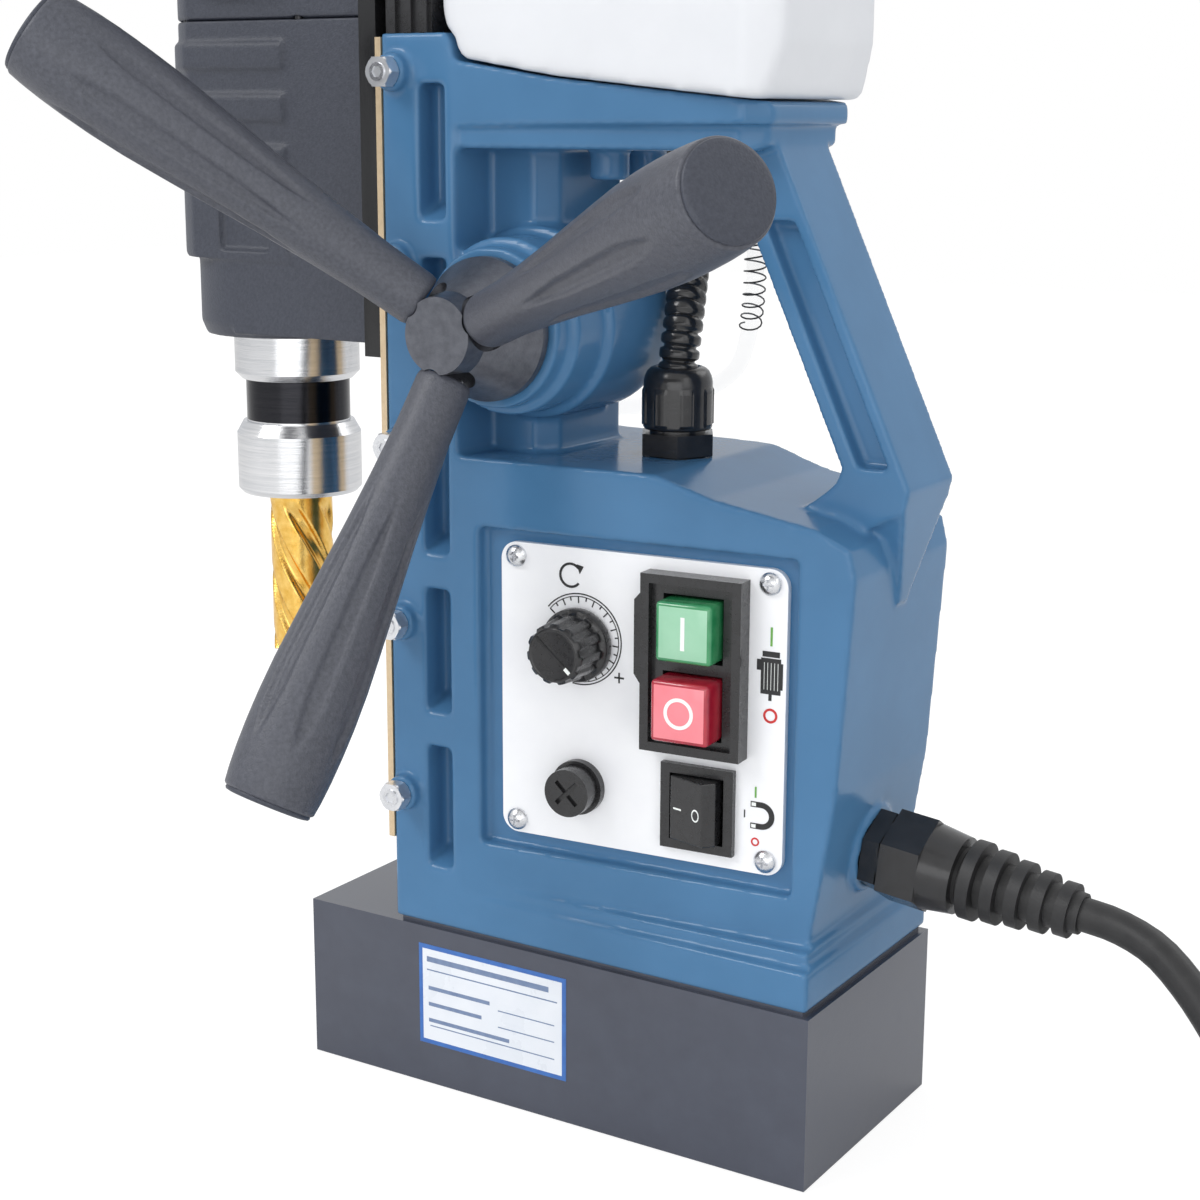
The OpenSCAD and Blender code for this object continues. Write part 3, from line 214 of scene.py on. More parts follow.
M = {
    "blue_paint": surface("blue_paint", (0.070, 0.188, 0.352), (0.061, 0.168, 0.318), 0.20, 0.04, coat=0.06,
                          specular=0.28, speck=26, bump=0.10, bump_mm=3.2, coat_rough=0.05),
    "magnet_black": surface("magnet_black", (0.058, 0.066, 0.093), (0.052, 0.059, 0.084), 0.24, 0.06,
                            coat=0.5, speck=9, bump=0.12, bump_mm=1.3),
    "copper": surface("copper", (0.60, 0.26, 0.12), (0.42, 0.16, 0.07), 0.35, 0.08, metal=0.9, speck=2,
                      bump=0.5, bump_mm=0.7, stretch=(1, 1, 4)),
    "potting": surface("potting", (0.05, 0.045, 0.04), (0.03, 0.027, 0.024), 0.55, 0.1, speck=5, bump=0.3,
                       bump_mm=1.5),
    "zinc_steel": surface("zinc_steel", (0.78, 0.79, 0.81), (0.66, 0.67, 0.70), 0.26, 0.10, metal=1.0,
                          speck=2.0, bump=0.10, bump_mm=0.4),
    "nut_zinc": surface("nut_zinc", (0.80, 0.81, 0.83), (0.74, 0.75, 0.78), 0.30, 0.05, metal=0.85, speck=3,
                        bump=0.04),
    "brass": surface("brass", (0.76, 0.60, 0.40), (0.70, 0.54, 0.35), 0.36, 0.06, metal=0.75, speck=1.5,
                     bump=0.12, bump_mm=0.4),
    "bronze": surface("bronze", (0.55, 0.36, 0.18), (0.42, 0.26, 0.12), 0.35, 0.1, metal=0.9, speck=3,
                      bump=0.15),
    "black_steel": surface("black_steel", (0.05, 0.05, 0.055), (0.025, 0.025, 0.028), 0.32, 0.08, metal=0.6,
                           speck=2, bump=0.1),
    "black_plastic": surface("black_plastic", (0.018, 0.018, 0.020), (0.012, 0.012, 0.013), 0.28, 0.06,
                             speck=2, bump=0.14, bump_mm=0.35, coat=0.3, coat_rough=0.1),
    "panel_white": surface("panel_white", (0.92, 0.93, 0.95), (0.88, 0.89, 0.92), 0.30, 0.05, speck=14,
                           bump=0.04, bump_mm=0.8, coat=0.2),
    "board_green": surface("board_green", (0.03, 0.16, 0.08), (0.02, 0.10, 0.05), 0.35, 0.08, speck=6,
                           bump=0.2),
    "gland_black": surface("gland_black", (0.018, 0.018, 0.020), (0.010, 0.010, 0.011), 0.25, 0.06, speck=4,
                           bump=0.12, bump_mm=0.8, coat=0.3, coat_rough=0.12),
    "cord_rubber": surface("cord_rubber", (0.022, 0.022, 0.023), (0.013, 0.013, 0.014), 0.45, 0.08, speck=5,
                           bump=0.2, bump_mm=0.6),
    "conduit_black": surface("conduit_black", (0.016, 0.016, 0.017), (0.009, 0.009, 0.010), 0.24, 0.06,
                             speck=3, bump=0.12, bump_mm=0.8, coat=0.3, coat_rough=0.12),
    "tank_white": surface("tank_white", (0.74, 0.755, 0.785), (0.71, 0.725, 0.755), 0.36, 0.06, speck=18,
                          bump=0.06, bump_mm=2.0, coat=0.15),
    "hose_clear": surface("hose_clear", (0.94, 0.95, 0.96), (0.88, 0.90, 0.92), 0.12, 0.04, speck=6,
                          bump=0.04, alpha=0.08, coat=0.2),
    "slide_black": surface("slide_black", (0.020, 0.020, 0.021), (0.010, 0.010, 0.011), 0.22, 0.07,
                           metal=0.3, speck=4, bump=0.15, bump_mm=0.5, stretch=(1, 1, 0.15), coat=0.3),
    "steel": surface("steel", (0.56, 0.57, 0.59), (0.42, 0.43, 0.45), 0.32, 0.1, metal=1.0, speck=2,
                     bump=0.15, bump_mm=0.4, stretch=(1, 1, 3)),
    "housing_grey": surface("housing_grey", (0.048, 0.054, 0.074), (0.032, 0.037, 0.054), 0.46, 0.08,
                            speck=0.9, bump=0.55, bump_mm=0.55, coat=0.05, coat_rough=0.3),
    "laminations": surface("laminations", (0.20, 0.20, 0.21), (0.10, 0.10, 0.11), 0.4, 0.1, metal=0.8,
                           speck=1, bump=0.5, bump_mm=0.5, stretch=(0.05, 0.05, 6)),
    "polished_steel": surface("polished_steel", (0.80, 0.80, 0.81), (0.64, 0.65, 0.67), 0.17, 0.05,
                              metal=1.0, speck=1.6, bump=0.10, bump_mm=0.5, stretch=(0.06, 0.06, 3)),
    "tin_gold": surface("tin_gold", (0.98, 0.66, 0.20), (0.80, 0.46, 0.09), 0.24, 0.07, metal=1.0,
                        speck=2.5, bump=0.12, bump_mm=0.5),
    "hub_grey": surface("hub_grey", (0.150, 0.156, 0.178), (0.112, 0.117, 0.135), 0.34, 0.08, metal=0.75,
                        speck=2.2, bump=0.25, bump_mm=0.6),
    "handle_black": surface("handle_black", (0.082, 0.087, 0.108), (0.056, 0.060, 0.076), 0.42, 0.06,
                            speck=1.1, bump=0.45, bump_mm=0.5),
    "button_green": surface("button_green", (0.05, 0.30, 0.12), (0.02, 0.22, 0.08), 0.16, 0.05, speck=5,
                            bump=0.05, coat=0.7),
    "button_green_face": surface("button_green_face", (0.33, 0.61, 0.42), (0.29, 0.57, 0.38), 0.22, 0.04,
                                 speck=7, bump=0.04, coat=0.5),
    "button_red": surface("button_red", (0.46, 0.02, 0.04), (0.34, 0.01, 0.03), 0.16, 0.05, speck=5,
                          bump=0.05, coat=0.7),
    "button_red_face": surface("button_red_face", (0.90, 0.25, 0.29), (0.85, 0.22, 0.26), 0.22, 0.04,
                               speck=7, bump=0.04, coat=0.5),
    "print_white": surface("print_white", (0.90, 0.93, 0.91), (0.84, 0.88, 0.86), 0.35, 0.05, speck=2,
                           bump=0.05),
    "print_black": surface("print_black", (0.022, 0.022, 0.024), (0.014, 0.014, 0.015), 0.45, 0.05, speck=2,
                           bump=0.05),
    "print_green": surface("print_green", (0.16, 0.42, 0.08), (0.12, 0.35, 0.06), 0.4, 0.05, speck=2,
                           bump=0.05),
    "print_red": surface("print_red", (0.62, 0.03, 0.03), (0.54, 0.02, 0.02), 0.4, 0.05, speck=2,
                         bump=0.05),
    "print_blue": surface("print_blue", (0.05, 0.17, 0.50), (0.04, 0.13, 0.42), 0.35, 0.05, speck=4,
                          bump=0.05),
    "print_grey": surface("print_grey", (0.20, 0.27, 0.42), (0.15, 0.21, 0.35), 0.4, 0.05, speck=2,
                          bump=0.05),
    "label_white": surface("label_white", (0.80, 0.83, 0.88), (0.74, 0.78, 0.84), 0.28, 0.06, speck=12,
                           bump=0.08, bump_mm=2.0, coat=0.3),
}
band_by_height(M["polished_steel"], [(0, (1, 1, 1)), (194.0, (0.045, 0.045, 0.05)), (207.2, (1, 1, 1))])


# ---------------------------------------------------------------- making and placing pieces


def add_piece(name, mesh, body, material, smooth=True, bevel=0.0, segments=2):
    obj = bpy.data.objects.new(name, mesh)
    bpy.context.collection.objects.link(obj)
    mesh.materials.clear()
    mesh.materials.append(M[material])
    for face in mesh.polygons:
        face.use_smooth = smooth
    if bevel:
        add_bevel(obj, bevel, segments)
    if body:
        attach(obj, body)
    return obj


def add_bevel(obj, width_mm, segments=2, angle=32):
    bevel = obj.modifiers.new("edge", "BEVEL")
    bevel.width = width_mm * MM
    bevel.segments = segments
    bevel.limit_method = "ANGLE"
    bevel.angle_limit = math.radians(angle)
    bevel.harden_normals = False
    obj.modifiers.new("normals", "WEIGHTED_NORMAL").keep_sharp = True


def mesh_of(name, points, faces):
    mesh = bpy.data.meshes.new(name)
    mesh.from_pydata([tuple(p) for p in points], [], faces)
    mesh.update()
    work = bmesh.new()
    work.from_mesh(mesh)
    bmesh.ops.recalc_face_normals(work, faces=work.faces)
    work.to_mesh(mesh)
    work.free()
    return mesh


def loft(name, rings):
    """A closed skin over rings of equal count, with flat ends."""
    n = len(rings[0])
    points = [p for ring in rings for p in ring]
    faces = [[i * n + k, i * n + (k + 1) % n, (i + 1) * n + (k + 1) % n, (i + 1) * n + k]
             for i in range(len(rings) - 1) for k in range(n)]
    faces += [list(range(n)), list(range((len(rings) - 1) * n, len(rings) * n))]
    return mesh_of(name, points, faces)


def ring_about(centre, a, b, radius, n, lobes=None):
    """n points round centre in the plane of unit vectors a and b; lobes(angle) scales the radius."""
    points = []
    for k in range(n):
        t = 2 * math.pi * k / n
        r = radius * (lobes(t) if lobes else 1)
        points.append(centre + a * (r * math.cos(t)) + b * (r * math.sin(t)))
    return points


def across(direction):
    side = Vector((0, 1, 0.1)) if abs(direction.y) < 0.9 else Vector((1, 0, 0))
    a = direction.cross(side).normalized()
    return a, direction.cross(a).normalized()


def turned(name, at, axis, profile, n=64, lobes=None):
    """A turned piece: profile is (distance along axis, radius) in millimetres."""
    a, b = across(axis)
    rings = [ring_about(at + axis * (t * MM), a, b, max(r, 0.02) * MM, n,
                        lobes and (lambda u, t=t: lobes(u, t))) for t, r in profile]
    return loft(name, rings)


def spline(points, count):
    """Catmull-Rom points along a route in millimetres, evenly by parameter."""
    out = []
    last = len(points) - 1
    for i in range(count + 1):
        s = last * i / count
        k = min(int(s), last - 1)
        f = s - k
        a, b, c, d = (Vector(points[max(0, min(last, j))]) for j in (k - 1, k, k + 1, k + 2))
        out.append(0.5 * (2 * b + (c - a) * f + (2 * a - 5 * b + 4 * c - d) * f * f
                          + (3 * b - a - 3 * c + d) * f ** 3))
    return out


def resample(points, step):
    """Points a fixed distance apart along a polyline."""
    out, carry = [points[0]], 0.0
    for a, b in zip(points, points[1:]):
        length = (b - a).length
        while carry + length >= step:
            part = (step - carry) / length
            a = a.lerp(b, part)
            length = (b - a).length
            out.append(a.copy())
            carry = 0.0
        carry += length
    return out


def pipe(name, points, radius, n=20):
    """A closed pipe along points in millimetres; radius is a number or a function of the ring's index."""
    rings, side = [], None
    for i, p in enumerate(points):
        ahead = (points[min(i + 1, len(points) - 1)] - points[max(i - 1, 0)]).normalized()
        if side is None:
            side, _ = across(ahead)
        side = (side - ahead * side.dot(ahead)).normalized()
        r = radius(i) if callable(radius) else radius
        rings.append(ring_about(p * MM, side, ahead.cross(side), r * MM, n))
    return loft(name, rings)


def skin(node, name, body, material, voxel, passes):
    """A cast or moulded version of a CAD node: the same solid with every edge and corner rounded over."""
    work = bpy.data.objects.new(name + "_work", nodes[node].data.copy())
    bpy.context.collection.objects.link(work)
    remesh = work.modifiers.new("remesh", "REMESH")
    remesh.mode = "VOXEL"
    remesh.voxel_size = voxel * MM
    soften = work.modifiers.new("soften", "SMOOTH")
    soften.factor = 0.5
    soften.iterations = passes
    ready = work.evaluated_get(bpy.context.evaluated_depsgraph_get())
    mesh = bpy.data.meshes.new_from_object(ready)
    bpy.data.objects.remove(work)
    piece = add_piece(name, mesh, body, material)
    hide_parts(node)


# The control panel's own frame: x along the plate, y inwards, z up.
PANEL_Y, PANEL_TURN = -35.5, math.radians(4.5)


def on_panel(x, y, z):
    c, s = math.cos(PANEL_TURN), math.sin(PANEL_TURN)
    return v(x * c - y * s, PANEL_Y + x * s + y * c, z)


PANEL_OUT = (on_panel(0, -1, 0) - on_panel(0, 0, 0)).normalized()


def printed(name, outlines, material, y0=0.02, y1=-0.14, body="frame", place=on_panel):
    """Flat marks: each outline is a polygon in the panel's x and z, given a little thickness."""
    points, faces = [], []
    for outline in outlines:
        n, start = len(outline), len(points)
        points += [place(x, y0, z) for x, z in outline] + [place(x, y1, z) for x, z in outline]
        faces += [[start + (k + 1) % n, start + k, start + n + k, start + n + (k + 1) % n] for k in range(n)]
        faces += [[start + k for k in range(n)], [start + n + k for k in reversed(range(n))]]
    return add_piece(name, mesh_of(name, points, faces), body, material, smooth=False)


def bar(x0, z0, x1, z1, width):
    """A straight stroke."""
    dx, dz = x1 - x0, z1 - z0
    scale = width / 2 / math.hypot(dx, dz)
    nx, nz = -dz * scale, dx * scale
    return [(x0 + nx, z0 + nz), (x1 + nx, z1 + nz), (x1 - nx, z1 - nz), (x0 - nx, z0 - nz)]


def arc(x, z, radius, width, start, end, steps=8, squeeze=1.0):
    """An arc stroke, as quads, from start to end in degrees, anticlockwise from +x."""
    quads = []
    for i in range(steps):
        a0 = math.radians(start + (end - start) * i / steps)
        a1 = math.radians(start + (end - start) * (i + 1) / steps)
        quads.append([(x + squeeze * r * math.cos(a), z + r * math.sin(a))
                      for r, a in ((radius - width / 2, a0), (radius + width / 2, a0),
                                   (radius + width / 2, a1), (radius - width / 2, a1))])
    return quads


def rounded_box(name, low, high, radius, place, segments=3):
    """A box with rounded edges, given by its corners in millimetres in the frame of place."""
    work = bmesh.new()
    bmesh.ops.create_cube(work, size=1.0)
    for vert in work.verts:
        vert.co = Vector([(a + b) / 2 + (b - a) * c for a, b, c in zip(low, high, vert.co)])
    bmesh.ops.bevel(work, geom=work.edges[:], offset=radius, segments=segments, profile=0.5, affect="EDGES")
    for vert in work.verts:
        vert.co = place(*vert.co)
    bmesh.ops.recalc_face_normals(work, faces=work.faces)
    mesh = bpy.data.meshes.new(name)
    work.to_mesh(mesh)
    work.free()
    return mesh


# ---------------------------------------------------------------- the mains cord

CORD_D = 9.5
CORD_LEAD = [(147, 0, 81), (157, 0, 79.5), (168, -2, 76), (178, -5, 69), (187, -8, 60), (196, -11, 49),
             (205, -14, 37), (215, -17, 25), (226, -19.5, 14.5), (238, -21.5, 8), (251, -22.6, 5.2),
             (266, -22.75, 4.75)]
CORD_TAIL = [(266, 119.75, 14.25), (252, 119.9, 14.8), (238, 119.5, 16), (224, 118.6, 17.3), (213, 118, 18),
             (206.2, 118, 18)]
COIL_AT = (266, 48.5)
COIL_OUTER = 71.25
COIL_END = 2700
SHIFT = 60
STEPS_IN, STEP_UP, STEPS_OUT = (300, 660, 1020), (1320,), (1620, 1980, 2340)


def step_up(angle, starts, size):
    """The sum of smooth steps of a size, one starting at each angle in starts."""
    total = 0.0
    for start in starts:
        t = max(0.0, min(1.0, (angle - start) / SHIFT))
        total += size * t * t * (3 - 2 * t)
    return total


def coil_point(angle):
    """A point of the coil: inwards on the surface, up at the middle, then outwards on top."""
    radius = COIL_OUTER - step_up(angle, STEPS_IN, CORD_D) + step_up(angle, STEPS_OUT, CORD_D)
    height = CORD_D / 2 + step_up(angle, STEP_UP, CORD_D)
    turn = math.radians(angle - 90)
    return Vector((COIL_AT[0] + radius * math.cos(turn), COIL_AT[1] + radius * math.sin(turn), height))


def make_cord():
    coil = [coil_point(a) for a in range(0, COIL_END + 1, 12)]
    lead = spline(CORD_LEAD, 30)
    tail = spline(CORD_TAIL, 12)
    points = lead[:-1] + coil + tail[1:]
    data = bpy.data.curves.new("cord", "CURVE")
    data.dimensions = "3D"
    data.bevel_depth = CORD_D / 2 * MM
    data.bevel_resolution = 5
    line = data.splines.new("POLY")
    line.points.add(len(points) - 1)
    for point, p in zip(line.points, points):
        point.co = (*(p * MM), 1)
    line.use_smooth = True
    data.materials.append(M["cord_rubber"])
    obj = bpy.data.objects.new("cord", data)
    bpy.context.collection.objects.link(obj)
    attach(obj, "frame")
    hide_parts("mains_cord", "mains_cord_coil")
    length = sum((b - a).length for a, b in zip(points, points[1:])) * MM
    return length


make_camera()
cord_length = make_cord()

# ---------------------------------------------------------------- castings and mouldings

skin("frame_casting", "casting", "frame", "blue_paint", 0.82, 6)
skin("gearbox_housing", "gearbox_shell", "carriage", "housing_grey", 0.75, 3)
skin("motor_housing", "motor_shell", "carriage", "housing_grey", 1.0, 3)
skin("motor_cap", "motor_end_cap", "carriage", "housing_grey", 1.1, 4)
skin("coolant_tank", "tank", "frame", "tank_white", 1.4, 12)
skin("mains_plug", "plug", "frame", "cord_rubber", 0.9, 5)

# ---------------------------------------------------------------- feed handles

HUB = Vector((-14, -56, 232))
HANDLE_TURNS = (20, 140, 260)
HANDLE_LEAN = math.radians(27)
GRIP = [(14, 7.0), (15, 7.6), (30, 7.8), (45, 8.7), (60, 9.8), (75, 11.2), (90, 12.5), (100, 13.3), (110, 13.7),
        (118, 13.7), (125, 13.5), (131, 13.1), (135, 12.6)]
FLUTES = 7


def grip_radius(t):
    for (t0, r0), (t1, r1) in zip(GRIP, GRIP[1:]):
        if t <= t1:
            f = (t - t0) / (t1 - t0)
            return r0 + (r1 - r0) * f
    return GRIP[-1][1]


def fade(value, low, high):
    t = max(0.0, min(1.0, (value - low) / (high - low)))
    return t * t * (3 - 2 * t)


def grip_lobes(angle, t):
    """Leaf-shaped flutes, pointed at both ends, cut a little into the grip."""
    leaf = fade(t, 40, 78) * (1 - fade(t, 104, 127))
    groove = fade(math.cos(FLUTES * angle), 1 - 0.95 * leaf, 1.35 - 0.75 * leaf)
    return 1 - 1.25 * min(1.0, 2 * leaf) * groove / grip_radius(t)


def make_handles():
    for k, turn in enumerate(HANDLE_TURNS):
        phi = math.radians(turn)
        along = Vector((math.cos(phi) * math.cos(HANDLE_LEAN), -math.sin(HANDLE_LEAN),
                        math.sin(phi) * math.cos(HANDLE_LEAN)))
        stations = [14 + 1.5 * i for i in range(81)] + [134.6]
        profile = [(14, 6.6)] + [(t + 0.4, grip_radius(t + 0.4)) for t in stations]
        profile += [(135.4, 12.3), (135.6, 11.9)]
        mesh = turned(f"grip_{k}", HUB * MM, along, profile, n=112, lobes=grip_lobes)
        grip = add_piece(f"grip_{k}", mesh, "capstan", "handle_black")
        if k == 0:
            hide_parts("feed_handles")
        cap = turned(f"grip_cap_{k}", HUB * MM, along,
                     [(134.9, 11.2), (135.5, 11.75), (136.2, 11.9), (136.7, 11.6), (136.95, 10.6), (137, 6),
                      (137, 0.1)], n=96)
        add_piece(f"grip_cap_{k}", cap, "capstan", "housing_grey")


make_handles()

# ---------------------------------------------------------------- the cutter

CUTTER_AT = (-120, 0)
CUTTER_FLUTES = 5
CUTTER_TWIST = 0.30


def make_cutter():
    """Annular cutter: helical lands and deep flutes, then teeth round its hollow end."""
    rings = []
    count = 150
    top, bottom, radius = 171.8, 118.0, 10.0
    n = 120
    centre = Vector((*CUTTER_AT, 0))

    def land(angle, z):
        phase = (angle * CUTTER_FLUTES - (top - z) * CUTTER_TWIST) % (2 * math.pi) / (2 * math.pi)
        depth = 1.9 * (fade(z, bottom - 4, bottom + 2) * (1 - fade(z, top - 9, top - 3)))
        if phase < 0.58:
            return 1.0 - 0.012 * phase
        part = (phase - 0.58) / 0.42
        return 1 - depth / radius * (1 - (2 * part - 1) ** 4) ** 0.6

    for i in range(count + 1):
        z = top + (bottom - top) * i / count
        ring = []
        for k in range(n):
            angle = 2 * math.pi * k / n
            r = radius * land(angle, z)
            turn = (angle * CUTTER_FLUTES - (top - z) * CUTTER_TWIST) / (2 * math.pi)
            tooth = 1.2 * (turn % 1.0) if i == count else 0
            ring.append((centre + Vector((r * math.cos(angle), r * math.sin(angle), z + tooth))) * MM)
        rings.append(ring)
    x_way, y_way = Vector((1, 0, 0)), Vector((0, 1, 0))
    for z, r in ((bottom + 0.6, 6.6), (150, 6.5), (169, 6.5), (169.5, 3.4)):
        rings.append(ring_about((centre + Vector((0, 0, z))) * MM, x_way, y_way, r * MM, n))
    body = loft("cutter_body", rings)
    piece = add_piece("cutter_body", body, "drill_spindle", "tin_gold")
    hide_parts("annular_cutter")
    shank = turned("cutter_shank", v(*CUTTER_AT, 171.5), Vector((0, 0, 1)),
                   [(0, 8.6), (0.4, 9.4), (30, 9.4), (30.6, 8.8)], n=64)
    add_piece("cutter_shank", shank, "drill_spindle", "tin_gold")


make_cutter()

# ---------------------------------------------------------------- conduit, coolant hose, glands

CONDUIT = [(20, 0, 205), (20, 0, 220), (20, 3, 234), (15, 15, 250), (7, 30, 263), (-5, 43, 275), (-20, 50, 288),
           (-38, 52, 304), (-54, 52, 322), (-68, 51, 340), (-79, 50, 349), (-89.9, 50, 350)]
HOSE = [(33.5, 20, 253.9), (33.3, 20.3, 246), (32.1, 21.6, 236), (28.6, 25.2, 226), (21.5, 31.5, 216),
        (7, 40, 208), (-12, 47, 202), (-34, 50, 198), (-54, 49, 198), (-70, 46, 203), (-84, 41, 212),
        (-93, 42.5, 222), (-99, 42, 232), (-103, 37.5, 236), (-103, 31.75, 236)]
RIB_PITCH = 4.1
HOSE_SPRING_STEP, HOSE_SPRING_STEPS = 0.25, 104
HOSE_SPRING_PITCH, HOSE_SPRING_R, HOSE_SPRING_WIRE = 3.4, 3.15, 0.25
GIB_X, GIB_Z = -48.2, tuple(92.5 + 52 * i for i in range(5))


def make_conduit():
    points = resample(spline(CONDUIT, 220), RIB_PITCH / 8)
    shape = (4.6, 5.5, 5.74, 5.76, 5.76, 5.74, 5.5, 4.6)
    mesh = pipe("conduit", points, lambda i: shape[i % 8], n=24)
    conduit = add_piece("conduit", mesh, None, "conduit_black")
    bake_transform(conduit)
    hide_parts("motor_conduit")


def make_hose():
    points = resample(spline(HOSE, 200), 1.5)
    mesh = pipe("hose", points, 2.6, n=20)
    hose = add_piece("hose", mesh, None, "hose_clear")
    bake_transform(hose)
    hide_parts("coolant_hose")
    route = resample(spline(HOSE, 400), HOSE_SPRING_STEP)[:HOSE_SPRING_STEPS]
    wire = []
    for i, p in enumerate(route):
        ahead = (route[min(i + 1, len(route) - 1)] - route[max(i - 1, 0)]).normalized()
        a = ahead.cross(Vector((0, 1, 0))).normalized()
        b = ahead.cross(a)
        turn = 2 * math.pi * (i * HOSE_SPRING_STEP / HOSE_SPRING_PITCH)
        wire.append(p + a * (HOSE_SPRING_R * math.cos(turn)) + b * (HOSE_SPRING_R * math.sin(turn)))
    mesh = pipe("hose_spring", wire, HOSE_SPRING_WIRE, n=8)
    add_piece("hose_spring", mesh, "frame", "black_steel")


def make_sleeve_spring():
    """The release spring inside the quick-release sleeve: four turns at one fixed length; the real spring
    closes up as the sleeve lifts.
    """
    top, bottom, radius, turns, steps = 186.2, 176.9, 17.4, 4, 160
    wire = []
    for i in range(steps + 1):
        a = 2 * math.pi * turns * i / steps
        wire.append(Vector((CUTTER_AT[0] + radius * math.cos(a), CUTTER_AT[1] + radius * math.sin(a),
                            top + (bottom - top) * i / steps)))
    spring = add_piece("release_spring", pipe("release_spring", wire, 0.5, n=10), None, "steel")
    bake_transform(spring)
    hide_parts("sleeve_spring")


def make_nuts():
    """Lock nuts of the gib screws: hexagons with their corners turned off."""
    def hexagon(angle, t):
        flat = 4.0 / math.cos((angle + math.pi / 6) % (math.pi / 3) - math.pi / 6)
        return min(1.0, flat / (4.6 if 0.5 < t < 3.9 else 4.1))

    profile = [(0, 2.6), (0, 4.1), (0.51, 4.6), (3.89, 4.6), (4.4, 4.1), (4.4, 2.6)]
    for i, z in enumerate(GIB_Z):
        mesh = turned(f"lock_nut_{i}", v(GIB_X, -44.1, z), Vector((0, -1, 0)), profile, n=120, lobes=hexagon)
        nut = add_piece(f"lock_nut_{i}", mesh, "frame", "nut_zinc", smooth=False)
        if i == 0:
            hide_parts("gib_lock_nuts")


def make_top_gland():
    """The clamping nut of the top gland: a rounded cap with raised grip ribs."""
    at, up = v(20, 0, 201.7), Vector((0, 0, 1))

    def lobes(angle, t):
        rib = max(0.0, min(1.0, (math.cos(8 * angle) - 0.1) * 5))
        return 1 + (0.045 * rib if 1.5 < t < 12.2 else 0.0)

    profile = [(0.2, 8.1), (0.3, 9.5), (0.9, 9.9), (1.5, 9.9), (1.6, 9.9)]
    profile += [(1.6 + 0.6 * i, 9.9) for i in range(1, 17)]
    profile += [(12.2, 9.9), (12.3, 9.9), (13.8, 9.85), (15.4, 9.5), (16.8, 8.8), (17.6, 7.9), (18.0, 6.9)]
    profile += [(17.9, 5.95), (10, 5.9)]
    cap = turned("gland_cap", at, up, profile, n=160, lobes=lobes)
    piece = add_piece("gland_cap", cap, "frame", "gland_black")
    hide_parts("motor_gland_nut")


make_conduit()
make_hose()
make_top_gland()
make_nuts()
make_sleeve_spring()

# ---------------------------------------------------------------- control panel

KNOB = (9.2, 144.3)
ROCKER = (46.8, 101.8)
START, STOP = (46, 153.4), (46, 131.7)


def make_knob():
    def lobes(angle, t):
        if not 4.4 < t < 15.2:
            return 1.0
        return 1 + 0.085 * max(0.0, min(1.0, (math.cos(11 * angle) + 0.25) * 3))

    at = on_panel(KNOB[0], 0, KNOB[1])
    profile = [(0.6, 9.8), (0.8, 10.4), (1.2, 10.5), (3.4, 10.5), (4.0, 10.2), (4.2, 9.2)]
    profile += [(4.5 + 0.7 * i, 8.55 - 0.045 * i) for i in range(16)]
    profile += [(15.3, 7.85), (15.8, 7.6), (16.0, 7.1), (15.85, 6.9), (15.8, 6.6), (15.8, 0.1)]
    mesh = turned("knob_grip", at, PANEL_OUT, profile, n=176, lobes=lobes)
    knob = add_piece("knob_grip", mesh, "knob", "black_plastic")
    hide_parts("speed_knob")
    for r0, r1, width, name in ((-6.9, 5.0, 0.7, "knob_line"), (5.0, 7.0, 1.0, "knob_mark")):
        a = math.radians(-42)
        outline = bar(KNOB[0] + r0 * math.cos(a), KNOB[1] + r0 * math.sin(a),
                      KNOB[0] + r1 * math.cos(a), KNOB[1] + r1 * math.sin(a), width)
        printed(name, [outline], "print_white" if name == "knob_mark" else "print_black",
                y0=-15.5, y1=-16.0, body="knob")


def make_buttons():
    spots = (("start", START, 10.5, "button_green", 8.3, 4.0), ("stop", STOP, 12.5, "button_red", 8.6, 4.0))
    for name, (x, z), height, colour, half, depth in spots:
        body = rounded_box(f"{name}_cover", (x - half, -height + 0.05, z - half),
                           (x + half, depth, z + half), 1.1, on_panel)
        piece = add_piece(f"{name}_cover", body, name, colour)
        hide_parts(f"{name}_button")
        face = rounded_box(f"{name}_face", (x - half + 0.9, -height, z - half + 0.9),
                           (x + half - 0.9, -height + 0.8, z + half - 0.9), 0.35, on_panel, segments=2)
        add_piece(f"{name}_face", face, name, colour + "_face")
    x, z = START
    printed("start_sign", [bar(x, z - 4.6, x, z + 4.6, 1.2)], "print_white", -10.4, -10.62, "start")
    x, z = STOP
    printed("stop_sign", arc(x, z, 3.9, 1.0, 0, 360, 36), "print_white", -12.4, -12.62, "stop")


